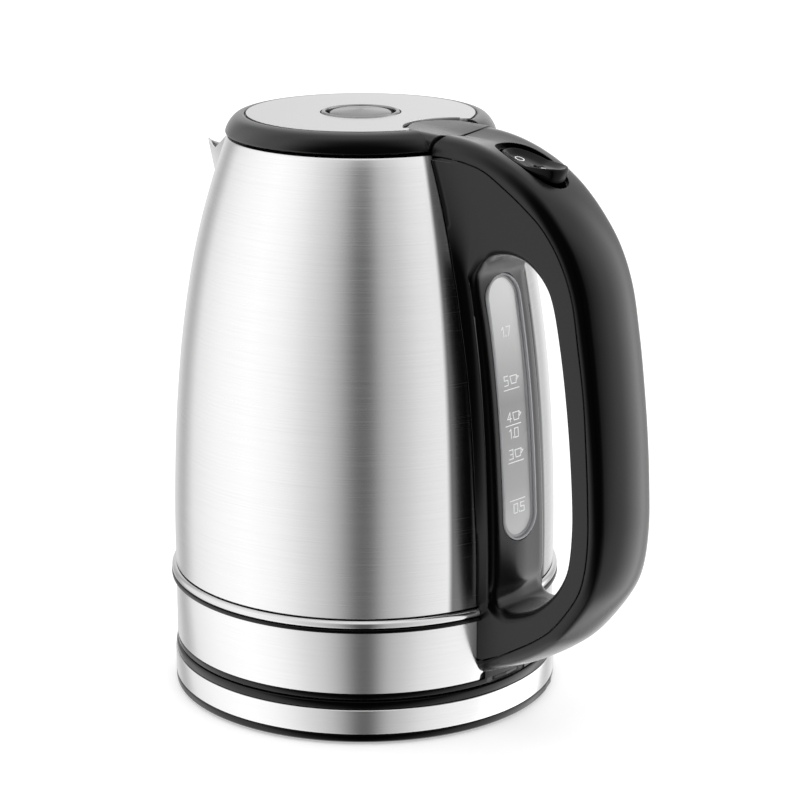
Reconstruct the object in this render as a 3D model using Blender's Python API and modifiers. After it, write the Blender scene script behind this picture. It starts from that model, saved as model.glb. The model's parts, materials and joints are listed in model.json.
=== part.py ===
"""Cordless electric kettle on a round power base, as separate pieces.

Frame: metres, +Z up, origin on the resting surface at the centre of the power base.
The handle lies towards +X and the spout towards -X, and XZ is the plane of symmetry.
Lengths below are in millimetres and are turned into metres where a mesh is made.
"""

import math

import bmesh
import bpy
import numpy as np
from mathutils import Matrix, Vector

MM = 0.001
GAP = 0.3
RING_STEPS = 36
SMALL_STEPS = 16

# Driving dimensions.
BASE_RADIUS = 80.0
BAND_RADIUS = 79.1
SHEET = 0.9
BODY_BOTTOM = 53.0
BODY_TOP = 231.2
HANDLE_HALF_WIDTH = 17.0
WALL = 2.2
HINGE_X = 62.0
HINGE_Z = 230.6
NOSE_RADIUS = 10.0
SLOT_HALF_WIDTH = 8.8
WINDOW_HALF_WIDTH = 10.2
WINDOW_LOW = 78.4
WINDOW_HIGH = 185.5
ROCKER_X = 88.3
ROCKER_Z = 230.8
ROCKER_TILT = math.radians(21.0)

# Height and outer radius of the steel body, bottom to top.
BODY_LINE = [
    (53.0, 79.1), (75.0, 79.1), (100.0, 78.3), (125.0, 76.8), (150.0, 74.3),
    (175.0, 70.5), (195.0, 66.2), (212.0, 61.4), (224.0, 57.5), (231.2, 54.9),
]
# Seam between the handle's two shells: x, z. Then the outer face's middle: x, z. Then how far
# that middle stands above the rounded edges (negative where the top is dished).
HANDLE_STATIONS = [
    (46.0, 229.8, 46.0, 237.2, -2.2),
    (51.8, 230.4, 54.5, 236.8, -2.2),
    (60.0, 230.6, 63.0, 236.6, -1.8),
    (68.3, 230.0, 72.0, 236.0, -0.9),
    (78.0, 228.0, 82.0, 234.0, 0.0),
    (88.0, 222.9, 93.0, 229.8, 0.6),
    (98.0, 216.8, 104.5, 223.2, 1.0),
    (107.5, 209.6, 114.8, 214.4, 1.5),
    (115.9, 198.9, 124.2, 202.4, 2.0),
    (121.9, 185.3, 130.9, 187.3, 2.3),
    (125.4, 166.8, 135.2, 167.9, 2.5),
    (128.4, 148.0, 138.0, 148.8, 2.5),
    (130.1, 128.8, 140.2, 129.2, 2.5),
    (131.4, 109.3, 141.4, 109.4, 2.5),
    (131.8, 92.0, 141.6, 91.6, 2.5),
    (130.2, 78.0, 139.4, 75.2, 2.5),
    (126.2, 67.6, 134.2, 63.2, 2.4),
    (116.2, 54.2, 122.4, 48.0, 2.2),
    (107.0, 46.4, 112.0, 39.4, 1.8),
    (94.6, 38.6, 98.4, 31.0, 1.4),
    (84.0, 32.4, 86.4, 25.6, 1.0),
    (73.0, 26.8, 74.0, 20.2, 0.8),
]
# Finger opening, from its top corner at the body round its outer side to its bottom corner.
OPENING_OUTER = [
    (76.5, 189.0), (82.0, 194.6), (91.0, 196.0), (99.9, 194.2), (107.4, 188.7), (111.8, 181.0),
    (115.6, 164.8), (118.7, 146.0), (121.0, 127.0), (122.6, 107.4), (122.9, 94.0),
    (121.6, 80.6), (118.4, 72.4), (113.0, 65.2), (104.6, 58.4), (95.0, 54.4), (88.0, 54.0),
    (84.6, 57.5),
]
# How far the strip that holds the window stands out from the body: height, distance.
STRIP_LINE = [(60.0, 6.6), (85.0, 6.6), (110.0, 6.3), (140.0, 5.9), (165.0, 5.4), (190.0, 5.0)]
# Floor of the hollow in the handle, from the lid end to the base end.
HOLLOW_LINE = [
    (67.0, 229.4), (67.0, 219.0), (69.0, 208.6), (75.0, 201.6), (83.0, 199.6), (93.0, 200.0),
    (103.4, 197.0), (111.4, 190.0), (116.2, 181.0), (119.8, 165.0), (122.8, 146.4),
    (125.1, 127.2), (126.7, 107.4), (127.0, 94.0), (125.6, 79.0), (121.8, 70.0),
    (115.6, 61.8), (106.4, 54.6), (96.0, 49.0), (87.0, 44.6), (83.4, 39.0), (84.4, 30.0),
]
LEAD_ROUTE = [
    (100.0, 205.0), (110.0, 200.0), (118.0, 190.0), (123.0, 172.0), (127.0, 150.0),
    (129.8, 128.0), (131.6, 108.0), (131.8, 92.0), (130.0, 80.0), (125.6, 69.0),
    (117.0, 58.6), (106.0, 50.4), (95.6, 44.0), (89.0, 40.5),
]


# ---- general helpers ----

def clear_scene():
    for obj in list(bpy.data.objects):
        bpy.data.objects.remove(obj, do_unlink=True)


def new_collection(name):
    found = bpy.data.collections.new(name)
    bpy.context.scene.collection.children.link(found)
    return found


def make_look(name, colour, roughness, metallic=0.0):
    look = bpy.data.materials.new(name)
    look.use_nodes = True
    shader = look.node_tree.nodes["Principled BSDF"]
    shader.inputs["Base Color"].default_value = (*colour, 1.0)
    shader.inputs["Roughness"].default_value = roughness
    shader.inputs["Metallic"].default_value = metallic
    return look


def place(name, mesh, look=None):
    """Object for a sub-part, or a hidden cutter where no look is given."""
    obj = bpy.data.objects.new(name, mesh)
    if look is None:
        CUTTERS.objects.link(obj)
        obj.hide_render = True
        obj.display_type = "WIRE"
    else:
        PARTS.objects.link(obj)
        mesh.materials.append(look)
    return obj


def smooth_line(points, steps):
    """Catmull-Rom curve through the points, with this many pieces between neighbours."""
    known = np.array(points, float)
    padded = np.vstack([2 * known[0] - known[1], known, 2 * known[-1] - known[-2]])
    line = []
    for i in range(1, len(padded) - 2):
        a, b, c, d = padded[i - 1:i + 3]
        for t in np.arange(steps) / steps:
            line.append(0.5 * (2 * b + (c - a) * t + (2 * a - 5 * b + 4 * c - d) * t**2
                               + (3 * b - a - 3 * c + d) * t**3))
    line.append(padded[-2])
    return [tuple(point) for point in line]


def along(line, height):
    """Value at a height on a line of (height, value) points."""
    heights, values = zip(*smooth_line(line, 4))
    return float(np.interp(height, heights, values))


def body_radius(height):
    return along(BODY_LINE, height)


def turned(name, profile, look=None, steps=RING_STEPS, at=(0.0, 0.0)):
    """Piece turned about Z. The profile (radius, height) runs down the outer side. A profile
    that starts on the axis is left open there, and any other is closed to a ring."""
    on_axis = profile[0][0] == 0.0
    count = len(profile)
    mesh = bpy.data.meshes.new(name)
    ends = count - 1 if on_axis else count
    edges = [(i, (i + 1) % count) for i in range(ends)]
    mesh.from_pydata([(r * MM, 0.0, z * MM) for r, z in profile], edges, [])
    obj = place(name, mesh, look)
    obj.location = (at[0] * MM, at[1] * MM, 0.0)
    turn = obj.modifiers.new("turn", "SCREW")
    turn.steps = turn.render_steps = steps
    turn.use_merge_vertices = True
    turn.merge_threshold = 0.00001
    turn.use_smooth_shade = True
    return obj


def as_mesh(curve_object, name, look):
    """Welded mesh made from a curve object, which is removed."""
    bpy.context.view_layer.update()
    evaluated = curve_object.evaluated_get(bpy.context.evaluated_depsgraph_get())
    mesh = bpy.data.meshes.new_from_object(evaluated)
    matrix = curve_object.matrix_world.copy()
    bpy.data.objects.remove(curve_object, do_unlink=True)
    mesh.name = name
    mesh.materials.clear()
    work = bmesh.new()
    work.from_mesh(mesh)
    bmesh.ops.remove_doubles(work, verts=work.verts, dist=0.00001)
    bmesh.ops.recalc_face_normals(work, faces=work.faces)
    work.to_mesh(mesh)
    work.free()
    obj = place(name, mesh, look)
    obj.matrix_world = matrix
    return obj


AXES = {
    "Z": Matrix.Identity(4),
    "Y": Matrix.Rotation(math.pi / 2, 4, "X"),
    "X": Matrix(((0, 0, 1, 0), (1, 0, 0, 0), (0, 1, 0, 0), (0, 0, 0, 1))),
}


def plate(name, outline, low, high, axis, look=None):
    """Flat outline made thick along an axis. Its points are (x, y) for Z, (x, z) for Y and
    (y, z) for X, and low and high are the two faces' places on that axis."""
    curve = bpy.data.curves.new(name, "CURVE")
    curve.dimensions = "2D"
    curve.fill_mode = "BOTH"
    curve.extrude = (high - low) / 2 * MM
    spline = curve.splines.new("POLY")
    spline.points.add(len(outline) - 1)
    for point, (a, b) in zip(spline.points, outline):
        point.co = (a * MM, b * MM, 0.0, 1.0)
    spline.use_cyclic_u = True
    obj = bpy.data.objects.new(name + "_curve", curve)
    CUTTERS.objects.link(obj)
    middle = Vector([(low + high) / 2 * MM if axis == letter else 0.0 for letter in "XYZ"])
    obj.matrix_world = Matrix.Translation(middle) @ AXES[axis]
    return as_mesh(obj, name, look)


def tube(name, points, radius, look, roundness=2):
    """Round wire or pipe along the points, given in mm."""
    curve = bpy.data.curves.new(name, "CURVE")
    curve.dimensions = "3D"
    curve.bevel_depth = radius * MM
    curve.bevel_resolution = roundness
    curve.use_fill_caps = True
    spline = curve.splines.new("POLY")
    spline.points.add(len(points) - 1)
    for point, place_mm in zip(spline.points, points):
        point.co = (*(value * MM for value in place_mm), 1.0)
    obj = bpy.data.objects.new(name + "_curve", curve)
    CUTTERS.objects.link(obj)
    return as_mesh(obj, name, look)


def rod(name, radius, start, end, look=None, sides=SMALL_STEPS):
    """Plain cylinder between two points in mm."""
    low = Vector(start) * MM
    high = Vector(end) * MM
    mesh = bpy.data.meshes.new(name)
    work = bmesh.new()
    bmesh.ops.create_cone(work, cap_ends=True, segments=sides, radius1=radius * MM,
                          radius2=radius * MM, depth=(high - low).length)
    work.to_mesh(mesh)
    work.free()
    obj = place(name, mesh, look)
    turn = (high - low).to_track_quat("Z", "Y").to_matrix().to_4x4()
    obj.matrix_world = Matrix.Translation((low + high) / 2) @ turn
    return obj


def block(name, size, centre, look=None, tilt=0.0, edge=0.0):
    """Box of a size in mm at a centre in mm, tilted about Y, with rounded edges if asked."""
    mesh = bpy.data.meshes.new(name)
    work = bmesh.new()
    bmesh.ops.create_cube(work, size=1.0)
    bmesh.ops.scale(work, vec=Vector(size) * MM, verts=work.verts)
    work.to_mesh(mesh)
    work.free()
    obj = place(name, mesh, look)
    obj.location = Vector(centre) * MM
    obj.rotation_euler = (0.0, tilt, 0.0)
    if edge:
        bevel = obj.modifiers.new("edges", "BEVEL")
        bevel.width = edge * MM
        bevel.segments = 2
    return obj


def loft(name, rings, look=None):
    """Closed solid through rings of equally many points, in mm, with flat ends."""
    mesh = bpy.data.meshes.new(name)
    work = bmesh.new()
    rows = [[work.verts.new([value * MM for value in point]) for point in ring] for ring in rings]
    count = len(rows[0])
    for near, far in zip(rows, rows[1:]):
        for i in range(count):
            j = (i + 1) % count
            work.faces.new((near[i], near[j], far[j], far[i]))
    work.faces.new(rows[0])
    work.faces.new(rows[-1])
    bmesh.ops.recalc_face_normals(work, faces=work.faces)
    bmesh.ops.triangulate(work, faces=work.faces)
    work.to_mesh(mesh)
    work.free()
    return place(name, mesh, look)


def combine(obj, other, operation):
    modifier = obj.modifiers.new(operation.lower(), "BOOLEAN")
    modifier.operation = operation
    modifier.solver = "EXACT"
    modifier.object = other


def cut(obj, *cutters):
    for cutter in cutters:
        combine(obj, cutter, "DIFFERENCE")


def join(obj, *others):
    for other in others:
        combine(obj, other, "UNION")


def stadium(half_width, low, high, points=9):
    """Upright outline with round ends, as (y, z)."""
    outline = []
    for centre, start in ((high - half_width, 0.0), (low + half_width, math.pi)):
        for i in range(points):
            angle = start + math.pi * i / (points - 1)
            outline.append((half_width * math.cos(angle), centre + half_width * math.sin(angle)))
    return outline


def arc(centre, radius, start, end, points):
    """Points on a circle from one angle to another, in degrees."""
    found = []
    for angle in np.radians(np.linspace(start, end, points)):
        found.append((centre[0] + radius * math.cos(angle), centre[1] + radius * math.sin(angle)))
    return found


# ---- power base ----

def base_tray():
    tray = turned("base_tray", [
        (0.0, 3.0), (76.5, 3.0), (76.5, 4.2), (79.5, 4.2), (BASE_RADIUS, 3.6),
        (BASE_RADIUS, 1.6), (79.2, 0.9), (12.0, 0.9), (11.6, 0.0), (0.0, 0.0),
    ], BLACK)
    outlet = block("tray_notch", (16.0, 30.6, 6.0), (0.0, 0.0, 6.0))
    outlet.matrix_world = outlet_place(74.6, 3.0)
    cut(tray, outlet)
    for number, (x, y) in enumerate(foot_places()):
        cut(tray, rod(f"foot_hole_{number}", 6.3, (x, y, 0.0), (x, y, 5.0)))
    for number, (x, y) in enumerate(screw_places()):
        cut(tray, rod(f"screw_hole_{number}", 3.2, (x, y, 0.0), (x, y, 5.0)))


def outlet_place(distance, height):
    """Place of the cord outlet, which sits in the rim 35 degrees round from the handle."""
    turn = Matrix.Rotation(math.radians(35.0), 4, "Z")
    return turn @ Matrix.Translation((distance * MM, 0.0, height * MM))


def cord_outlet():
    """Cover that fills the tray's notch, with the hole that the supply cord leaves by."""
    cover = turned("cord_outlet", [(79.5, 4.2), (BASE_RADIUS, 3.6), (BASE_RADIUS, 1.6),
                                   (79.2, 0.9), (66.9, 0.9), (66.9, 3.0), (76.5, 3.0),
                                   (76.5, 4.2)], BLACK)
    keep = block("outlet_keep", (16.0, 30.0, 12.0), (0.0, 0.0, 0.0))
    keep.matrix_world = outlet_place(75.0, 3.0)
    hole = rod("outlet_hole", 1.2, (70.0, 0.0, 2.3), (90.0, 0.0, 2.3), sides=12)
    hole.matrix_world = Matrix.Rotation(math.radians(35.0), 4, "Z") @ hole.matrix_world
    combine(cover, keep, "INTERSECT")
    cut(cover, hole)


def foot_places():
    return [(62.0 * math.cos(a), 62.0 * math.sin(a)) for a in np.radians([80, 170, 260, 350])]


def screw_places():
    return [(50.0 * math.cos(a), 50.0 * math.sin(a)) for a in np.radians([125, 215, 305])]


def base_steel_band():
    turned("base_steel_band", [(79.7, 14.8), (BASE_RADIUS, 4.5), (79.2, 4.5), (78.9, 14.8)], STEEL)


def base_top_cover():
    cover = turned("base_top_cover", [
        (78.9, 18.4), (79.6, 17.8), (79.6, 15.1), (78.6, 15.1), (78.6, 4.6), (76.9, 4.6),
        (76.9, 13.4), (22.0, 13.4), (22.0, 6.0), (20.0, 6.0), (20.0, 15.2), (71.0, 15.2),
        (74.0, 18.4),
    ], BLACK)
    for number, (x, y) in enumerate(screw_places()):
        join(cover, rod(f"boss_{number}", 3.8, (x, y, 3.4), (x, y, 14.0)))
        cut(cover, rod(f"boss_bore_{number}", 1.7, (x, y, 3.0), (x, y, 12.4)))


def base_fasteners():
    for number, (x, y) in enumerate(foot_places(), 1):
        turned(f"base_foot_{number}", [(0.0, 3.6), (6.0, 3.6), (6.0, 0.6), (7.4, 0.6),
                                       (7.0, 0.0), (0.0, 0.0)], RUBBER, SMALL_STEPS, (x, y))
    for number, (x, y) in enumerate(screw_places(), 1):
        turned(f"base_screw_{number}", [(0.0, 12.0), (1.4, 12.0), (1.4, 2.9), (2.8, 2.9),
                                        (2.8, 1.4), (0.0, 1.4)], BRIGHT, 12, (x, y))


def base_connector():
    turned("connector_post", [
        (0.0, 12.0), (3.2, 12.0), (3.2, 26.0), (7.4, 26.0), (7.4, 14.0), (10.4, 14.0),
        (10.4, 27.0), (16.0, 27.0), (16.6, 26.2), (16.6, 5.4), (19.4, 5.4), (19.4, 3.4), (0.0, 3.4),
    ], BLACK, 32)
    turned("live_contact_pin", [(0.0, 29.0), (1.6, 29.0), (2.2, 28.2), (2.2, 12.3), (0.0, 12.3)],
           BRASS, 16)
    turned("neutral_contact_ring", [(8.5, 25.0), (8.5, 14.3), (7.8, 14.3), (7.8, 25.0)], BRASS, 32)
    turned("earth_contact_ring", [(17.4, 22.0), (17.4, 12.0), (16.9, 12.0), (16.9, 22.0)],
           BRASS, 32)
    turned("socket_seal_ring", [(21.8, 18.3), (21.8, 16.4), (19.6, 16.4), (19.6, 18.3)],
           RUBBER, 32)


# ---- lower part of the kettle ----

def base_moulding():
    moulding = turned("base_moulding", [
        (77.9, 48.6), (77.9, 21.1), (78.8, 21.1), (79.1, 20.7), (79.1, 19.2), (78.6, 18.7),
        (22.6, 18.7), (22.6, 20.7), (75.9, 20.7), (75.9, 48.6),
    ], BLACK)
    pad = turned("moulding_pad", [(79.0, 27.0), (79.0, 20.0), (76.5, 20.0), (76.5, 27.0)])
    window = block("pad_width", (20.0, 25.0, 20.0), (79.0, 0.0, 24.0))
    combine(pad, window, "INTERSECT")
    join(moulding, pad)
    slot = plate("moulding_slot", [(z, y) for y, z in turned_slot(11.0, 0.95, 20.0)],
                 77.6, 90.0, "X")
    cut(moulding, slot)
    for side, y in handle_screw_sides():
        cut(moulding, rod(f"moulding_screw_hole_{side}", 2.0, (68.0, y, 38.0), (90.0, y, 38.0)))


def turned_slot(half_length, half_height, centre):
    """Lying slot outline, as (z, y) pairs that plate() reads the other way round."""
    outline = stadium(half_height, -half_length, half_length, 6)
    return [(centre + across, length) for across, length in outline]


def drain_slot_insert():
    insert = plate("drain_slot_insert", [(z, y) for y, z in turned_slot(10.7, 0.65, 20.0)],
                   77.9, 90.0, "X", BLACK)
    outer = turned("insert_face", [(78.6, 30.0), (78.6, 10.0), (60.0, 10.0), (60.0, 30.0)])
    combine(insert, outer, "INTERSECT")


def handle_gap_cutter(name, half_width, low, high):
    """Upright slot on the handle side, cut through thin rings."""
    return block(name, (30.0, 2 * half_width, high - low), (79.0, 0.0, (low + high) / 2))


def lower_band():
    band = turned("lower_band", [(BAND_RADIUS, 47.4), (BAND_RADIUS, 21.4),
                                 (BAND_RADIUS - 0.8, 21.4), (BAND_RADIUS - 0.8, 47.4)], STEEL)
    outline = [(-13.0, 60.0), (-13.0, 25.0)]
    outline += arc((-16.0, 24.4), 3.0, 0.0, -90.0, 4)
    outline += [(-16.0, 15.0), (16.0, 15.0)]
    outline += arc((16.0, 24.4), 3.0, 270.0, 180.0, 4)
    outline += [(13.0, 25.0), (13.0, 60.0)]
    cut(band, plate("band_gap", outline, 60.0, 100.0, "X"))


def trim_bead():
    section = arc((79.0, 50.35), 2.3, 90.0, -90.0, 7)
    bead = turned("trim_bead", section + [(77.6, 49.0), (77.6, 51.7)], STEEL)
    cut(bead, handle_gap_cutter("bead_gap", HANDLE_HALF_WIDTH + GAP, 40.0, 60.0))


def heater():
    turned("heating_plate", [(0.0, 61.5), (76.2, 61.5), (77.2, 60.6), (77.2, 56.6), (76.2, 56.6),
                             (76.2, 60.3), (0.0, 60.3)], STEEL)
    turned("plate_seal", [(77.8, 56.2), (77.8, 53.6), (75.6, 53.6), (75.6, 56.2)], RUBBER)
    turned("heat_spreader", [(0.0, 60.0), (60.0, 60.0), (60.0, 58.6), (0.0, 58.6)], BRIGHT)
    ring = arc((0.0, 0.0), 46.0, 20.0, 340.0, 25)
    points = [(44.0, 14.0, 47.0), (43.6, 15.0, 52.0)]
    points += [(x, y, 54.9) for x, y in ring]
    points += [(43.6, -15.0, 52.0), (44.0, -14.0, 47.0)]
    tube("heating_element", points, 3.2, BRIGHT)
    turned("control_unit", [
        (0.0, 50.0), (24.0, 50.0), (24.0, 33.0), (22.0, 31.0), (22.0, 18.8), (18.0, 18.8),
        (18.0, 31.5), (0.0, 31.5),
    ], WHITE_PLASTIC, 32)
    for number, x in enumerate((-12.0, 12.0), 1):
        turned(f"dry_boil_disc_{number}", [(0.0, 51.9), (8.5, 51.0), (8.5, 50.4), (0.0, 51.3)],
               BRASS, SMALL_STEPS, (x, 0.0))


# ---- steel body, spout and mouth ----

def body_profile(offset, low, high, count=10):
    """(radius, height) points down the body's outer line, moved outward by an offset."""
    return [(body_radius(z) + offset, z) for z in np.linspace(high, low, count)]


def body_clearance(name, offset):
    """Solid of the whole body's outer shape, grown by an offset, to cut neighbours with."""
    profile = [(0.0, BODY_TOP + offset), (body_radius(BODY_TOP) + offset, BODY_TOP + offset)]
    profile += body_profile(offset, BODY_BOTTOM, BODY_TOP)
    profile += [(BAND_RADIUS + offset, 10.0), (0.0, 10.0)]
    return turned(name, profile)


def spout_half_angle(height):
    """Half of the angle that the spout's root takes up on the body, in degrees."""
    return 23.0 * math.sqrt(max(0.0, (height - 138.0) / (BODY_TOP - 138.0)))


def body_shell():
    profile = body_profile(0.0, BODY_BOTTOM, BODY_TOP)
    profile += [(r - SHEET, z) for r, z in reversed(body_profile(0.0, BODY_BOTTOM, BODY_TOP))]
    shell = turned("body_shell", profile, STEEL)
    slot = plate("shell_window_slot", stadium(8.0, WINDOW_LOW + 5.0, WINDOW_HIGH - 5.0),
                 60.0, 100.0, "X")
    notch = block("shell_hinge_notch", (20.0, 19.0, 20.0), (57.0, 0.0, 231.0))
    steam = rod("shell_steam_hole", 3.6, (50.0, 0.0, 212.0), (80.0, 0.0, 212.0))
    outline = []
    for z in (165.0, 180.0, 195.0, 210.0, 225.0, 240.0):
        outline.append((-0.72 * spout_root_y(z), z))
    outline += [(-y, z) for y, z in reversed(outline)]
    mouth = plate("shell_spout_mouth", outline, -100.0, -30.0, "X")
    cut(shell, slot, notch, steam, mouth)
    for side, y in handle_screw_sides():
        cut(shell, rod(f"shell_screw_hole_{side}", 2.0, (45.0, 1.5 * y, 224.0),
                       (75.0, 1.5 * y, 224.0)))


def spout_root_y(height):
    """Half the width of the spout's root on the body at a height."""
    z = min(height, BODY_TOP)
    return body_radius(z) * math.sin(math.radians(spout_half_angle(z)))


def spout():
    """Pinched beak: rows of a V section from the tail on the body up to the lip."""
    ridge = [(138.0, 76.2), (160.0, 77.6), (180.0, 80.4), (198.0, 84.4), (210.0, 87.8),
             (219.0, 90.6)]
    lip = [(0.0, 218.8), (0.18, 217.2), (0.42, 216.6), (0.7, 221.0), (1.0, 230.8)]
    mesh = bpy.data.meshes.new("spout")
    work = bmesh.new()
    rows = []
    for level in np.linspace(0.0, 1.0, 12):
        row = []
        for side in np.linspace(-1.0, 1.0, 15):
            across = abs(side)
            height = 139.5 + (along(lip, across) - 139.5) * level
            root = body_radius(min(height, BODY_TOP)) + 0.4
            angle = math.radians(spout_half_angle(height))
            start = np.array([root * math.cos(angle), root * math.sin(angle)])
            tip = np.array([max(along(ridge, min(height, 219.0)), root), 0.0])
            blend = across ** 1.35
            x, y = tip * (1 - blend) + start * blend
            row.append(work.verts.new((-x * MM, math.copysign(y, side) * MM, height * MM)))
        rows.append(row)
    for below, above in zip(rows, rows[1:]):
        for i in range(len(below) - 1):
            work.faces.new((below[i], below[i + 1], above[i + 1], above[i]))
    bmesh.ops.recalc_face_normals(work, faces=work.faces)
    work.to_mesh(mesh)
    work.free()
    beak = place("spout", mesh, STEEL)
    thick = beak.modifiers.new("sheet", "SOLIDIFY")
    thick.thickness = 0.9 * MM
    thick.offset = 0.0
    cut(beak, body_clearance("spout_clearance", GAP))


def mouth_collar():
    inner = body_profile(-SHEET - GAP, 219.0, 230.9, 4)
    collar = turned("mouth_collar", inner + [(49.9, 219.0), (49.9, 230.9)], BLACK)
    notch = block("collar_hinge_notch", (20.0, 19.0, 20.0), (57.0, 0.0, 230.0))
    mouth = block("collar_spout_notch", (30.0, 30.0, 14.0), (-55.0, 0.0, 220.5))
    cut(collar, notch, mouth)
    for side, y in handle_screw_sides():
        cut(collar, rod(f"collar_screw_hole_{side}", 2.0, (45.0, 1.5 * y, 224.0),
                        (75.0, 1.5 * y, 224.0)),
            rod(f"collar_counterbore_{side}", 3.4, (40.0, 1.5 * y, 224.0),
                (51.8, 1.5 * y, 224.0)))


def spout_filter():
    """Frame and mesh that stand behind the spout's mouth, leaning with the wall."""
    lean = Matrix.Rotation(math.radians(13.0), 4, "Y")
    stand = Matrix.Translation((-59.4 * MM, 0.0, 195.5 * MM)) @ lean
    frame = block("filter_frame", (1.8, 28.0, 48.0), (0.0, 0.0, 0.0), BLACK)
    frame.matrix_world = stand
    opening = block("filter_opening", (6.0, 22.0, 38.0), (0.0, 0.0, 0.0))
    opening.matrix_world = stand
    cut(frame, opening)
    mesh = block("filter_mesh", (0.5, 21.4, 37.4), (0.0, 0.0, 0.0), BRIGHT)
    mesh.matrix_world = stand


# ---- handle ----

def handle_screw_sides():
    return (("near", -8.0), ("far", 8.0))


def strip_front(height):
    """X of the middle of the window strip's face."""
    return body_radius(height) + along(STRIP_LINE, height)


def handle_inner_shell():
    seam = [(station[0], station[1]) for station in HANDLE_STATIONS]
    shell = plate("handle_inner_shell", seam + [(60.0, 29.0), (42.0, 229.0)],
                  -HANDLE_HALF_WIDTH, HANDLE_HALF_WIDTH, "Y", BLACK)
    front = [(strip_front(z), z) for z in np.linspace(62.0, 184.0, 10)]
    opening = plate("finger_opening", OPENING_OUTER + front, -40.0, 40.0, "Y")
    hollow = plate("handle_hollow", HOLLOW_LINE + [(100.0, 5.0), (160.0, 20.0), (160.0, 250.0),
                                                   (67.0, 250.0)],
                   WALL - HANDLE_HALF_WIDTH, HANDLE_HALF_WIDTH - WALL, "Y")
    pocket = hinge_room("inner_hinge_room")
    window = plate("strip_window", stadium(WINDOW_HALF_WIDTH, WINDOW_LOW, WINDOW_HIGH),
                   60.0, 100.0, "X")
    steam = rod("inner_steam_hole", 3.6, (50.0, 0.0, 212.0), (80.0, 0.0, 212.0))
    cut(shell, opening, hollow, body_clearance("handle_clearance", GAP), window, steam,
        pocket, pin_room("inner_pin_room"))
    for side, y in handle_screw_sides():
        upper = rod(f"inner_upper_hole_{side}", 2.0, (45.0, 1.5 * y, 224.0), (64.0, 1.5 * y, 224.0))
        lower = rod(f"inner_lower_hole_{side}", 2.0, (68.0, y, 38.0), (100.0, y, 38.0))
        cut(shell, upper, lower)


def handle_section(station, half_width, edge, inset, below):
    """Closed section across the handle: flat sides, rounded edges and a crowned or dished top."""
    seam_x, seam_z, top_x, top_z, crown = station
    seam = np.array([seam_x, seam_z])
    rise = np.array([top_x, top_z]) - seam
    depth = float(np.linalg.norm(rise))
    rise = rise / depth
    shoulder = depth - inset - crown
    flat = half_width - edge
    half = [(half_width, below)]
    half += [(flat + edge * math.sin(a), shoulder - edge + edge * math.cos(a))
             for a in np.radians([90.0, 60.0, 30.0, 0.0])]
    for share in (0.66, 0.33):
        half.append((flat * share, shoulder + crown * (1 - share ** 1.6)))
    full = half + [(0.0, shoulder + crown)] + [(-y, n) for y, n in reversed(half)]
    return [(*(seam + rise * n)[:1], y, (seam + rise * n)[1]) for y, n in full]


def handle_outer_shell():
    outer = [handle_section(s, HANDLE_HALF_WIDTH, 4.6, 0.0, GAP) for s in HANDLE_STATIONS]
    shell = loft("handle_outer_shell", outer, BLACK)
    between = [np.add(a, b) / 2 for a, b in zip(HANDLE_STATIONS[2:], HANDLE_STATIONS[3:])]
    inner = [handle_section(s, HANDLE_HALF_WIDTH - WALL, 2.6, WALL, -2.0) for s in between]
    hollow = loft("outer_hollow", inner)
    hinge = (HINGE_X, HINGE_Z)
    nose = [(40.0, 224.0), (40.0, 250.0), (58.3, 250.0)]
    nose += arc(hinge, NOSE_RADIUS, 112.0, 195.0, 8)
    nose += [(52.3, 224.0)]
    front = plate("nose_cut", nose, -40.0, 40.0, "Y")
    rocker_hole = loft("rocker_hole", rocker_rings([(-14.0, 0.0, 19.2, 10.9),
                                                    (14.0, 0.0, 19.2, 10.9)]))
    cut(shell, body_clearance("outer_clearance", GAP), front, hollow, rocker_hole,
        hinge_room("outer_hinge_room"), pin_room("outer_pin_room"))


def hinge_room(name):
    """Room for the lid's arm: a round space about the pin and the wedge that the arm sweeps."""
    centre = (HINGE_X, HINGE_Z)
    wedge = arc(centre, 16.0, 142.5, 242.0, 7) + arc(centre, 4.4, 242.0, 502.5, 15)
    return plate(name, wedge, -SLOT_HALF_WIDTH, SLOT_HALF_WIDTH, "Y")


def pin_room(name):
    """Bore for the hinge's pin, wider on one side for its spring."""
    bore = rod(name, 1.8, (HINGE_X, -15.0, HINGE_Z), (HINGE_X, 15.0, HINGE_Z), sides=16)
    join(bore, rod(name + "_coil", 4.0, (HINGE_X, 8.0, HINGE_Z), (HINGE_X, 14.2, HINGE_Z)))
    return bore


def lid_hinge():
    rod("hinge_pin", 1.5, (HINGE_X, -14.5, HINGE_Z), (HINGE_X, 14.5, HINGE_Z), BRIGHT, 16)
    coil = []
    for turn in np.linspace(0.0, 3.0, 25):
        angle = 2 * math.pi * turn
        coil.append((HINGE_X + 2.8 * math.cos(angle), 9.7 + 1.2 * turn,
                     HINGE_Z + 2.8 * math.sin(angle)))
    tube("hinge_spring", coil, 0.4, BRIGHT, 1)


def handle_screws():
    for side, y in handle_screw_sides():
        lower = rod(f"handle_screw_lower_{side}", 1.7, (73.2, y, 38.0), (87.0, y, 38.0),
                    BRIGHT, 12)
        join(lower, rod(f"lower_head_{side}", 3.2, (72.2, y, 38.0), (74.4, y, 38.0), sides=12))
        upper = rod(f"handle_screw_upper_{side}", 1.7, (50.8, 1.5 * y, 224.0),
                    (63.6, 1.5 * y, 224.0), BRIGHT, 12)
        join(upper, rod(f"upper_head_{side}", 3.0, (49.6, 1.5 * y, 224.0),
                        (51.4, 1.5 * y, 224.0), sides=12))


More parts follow.
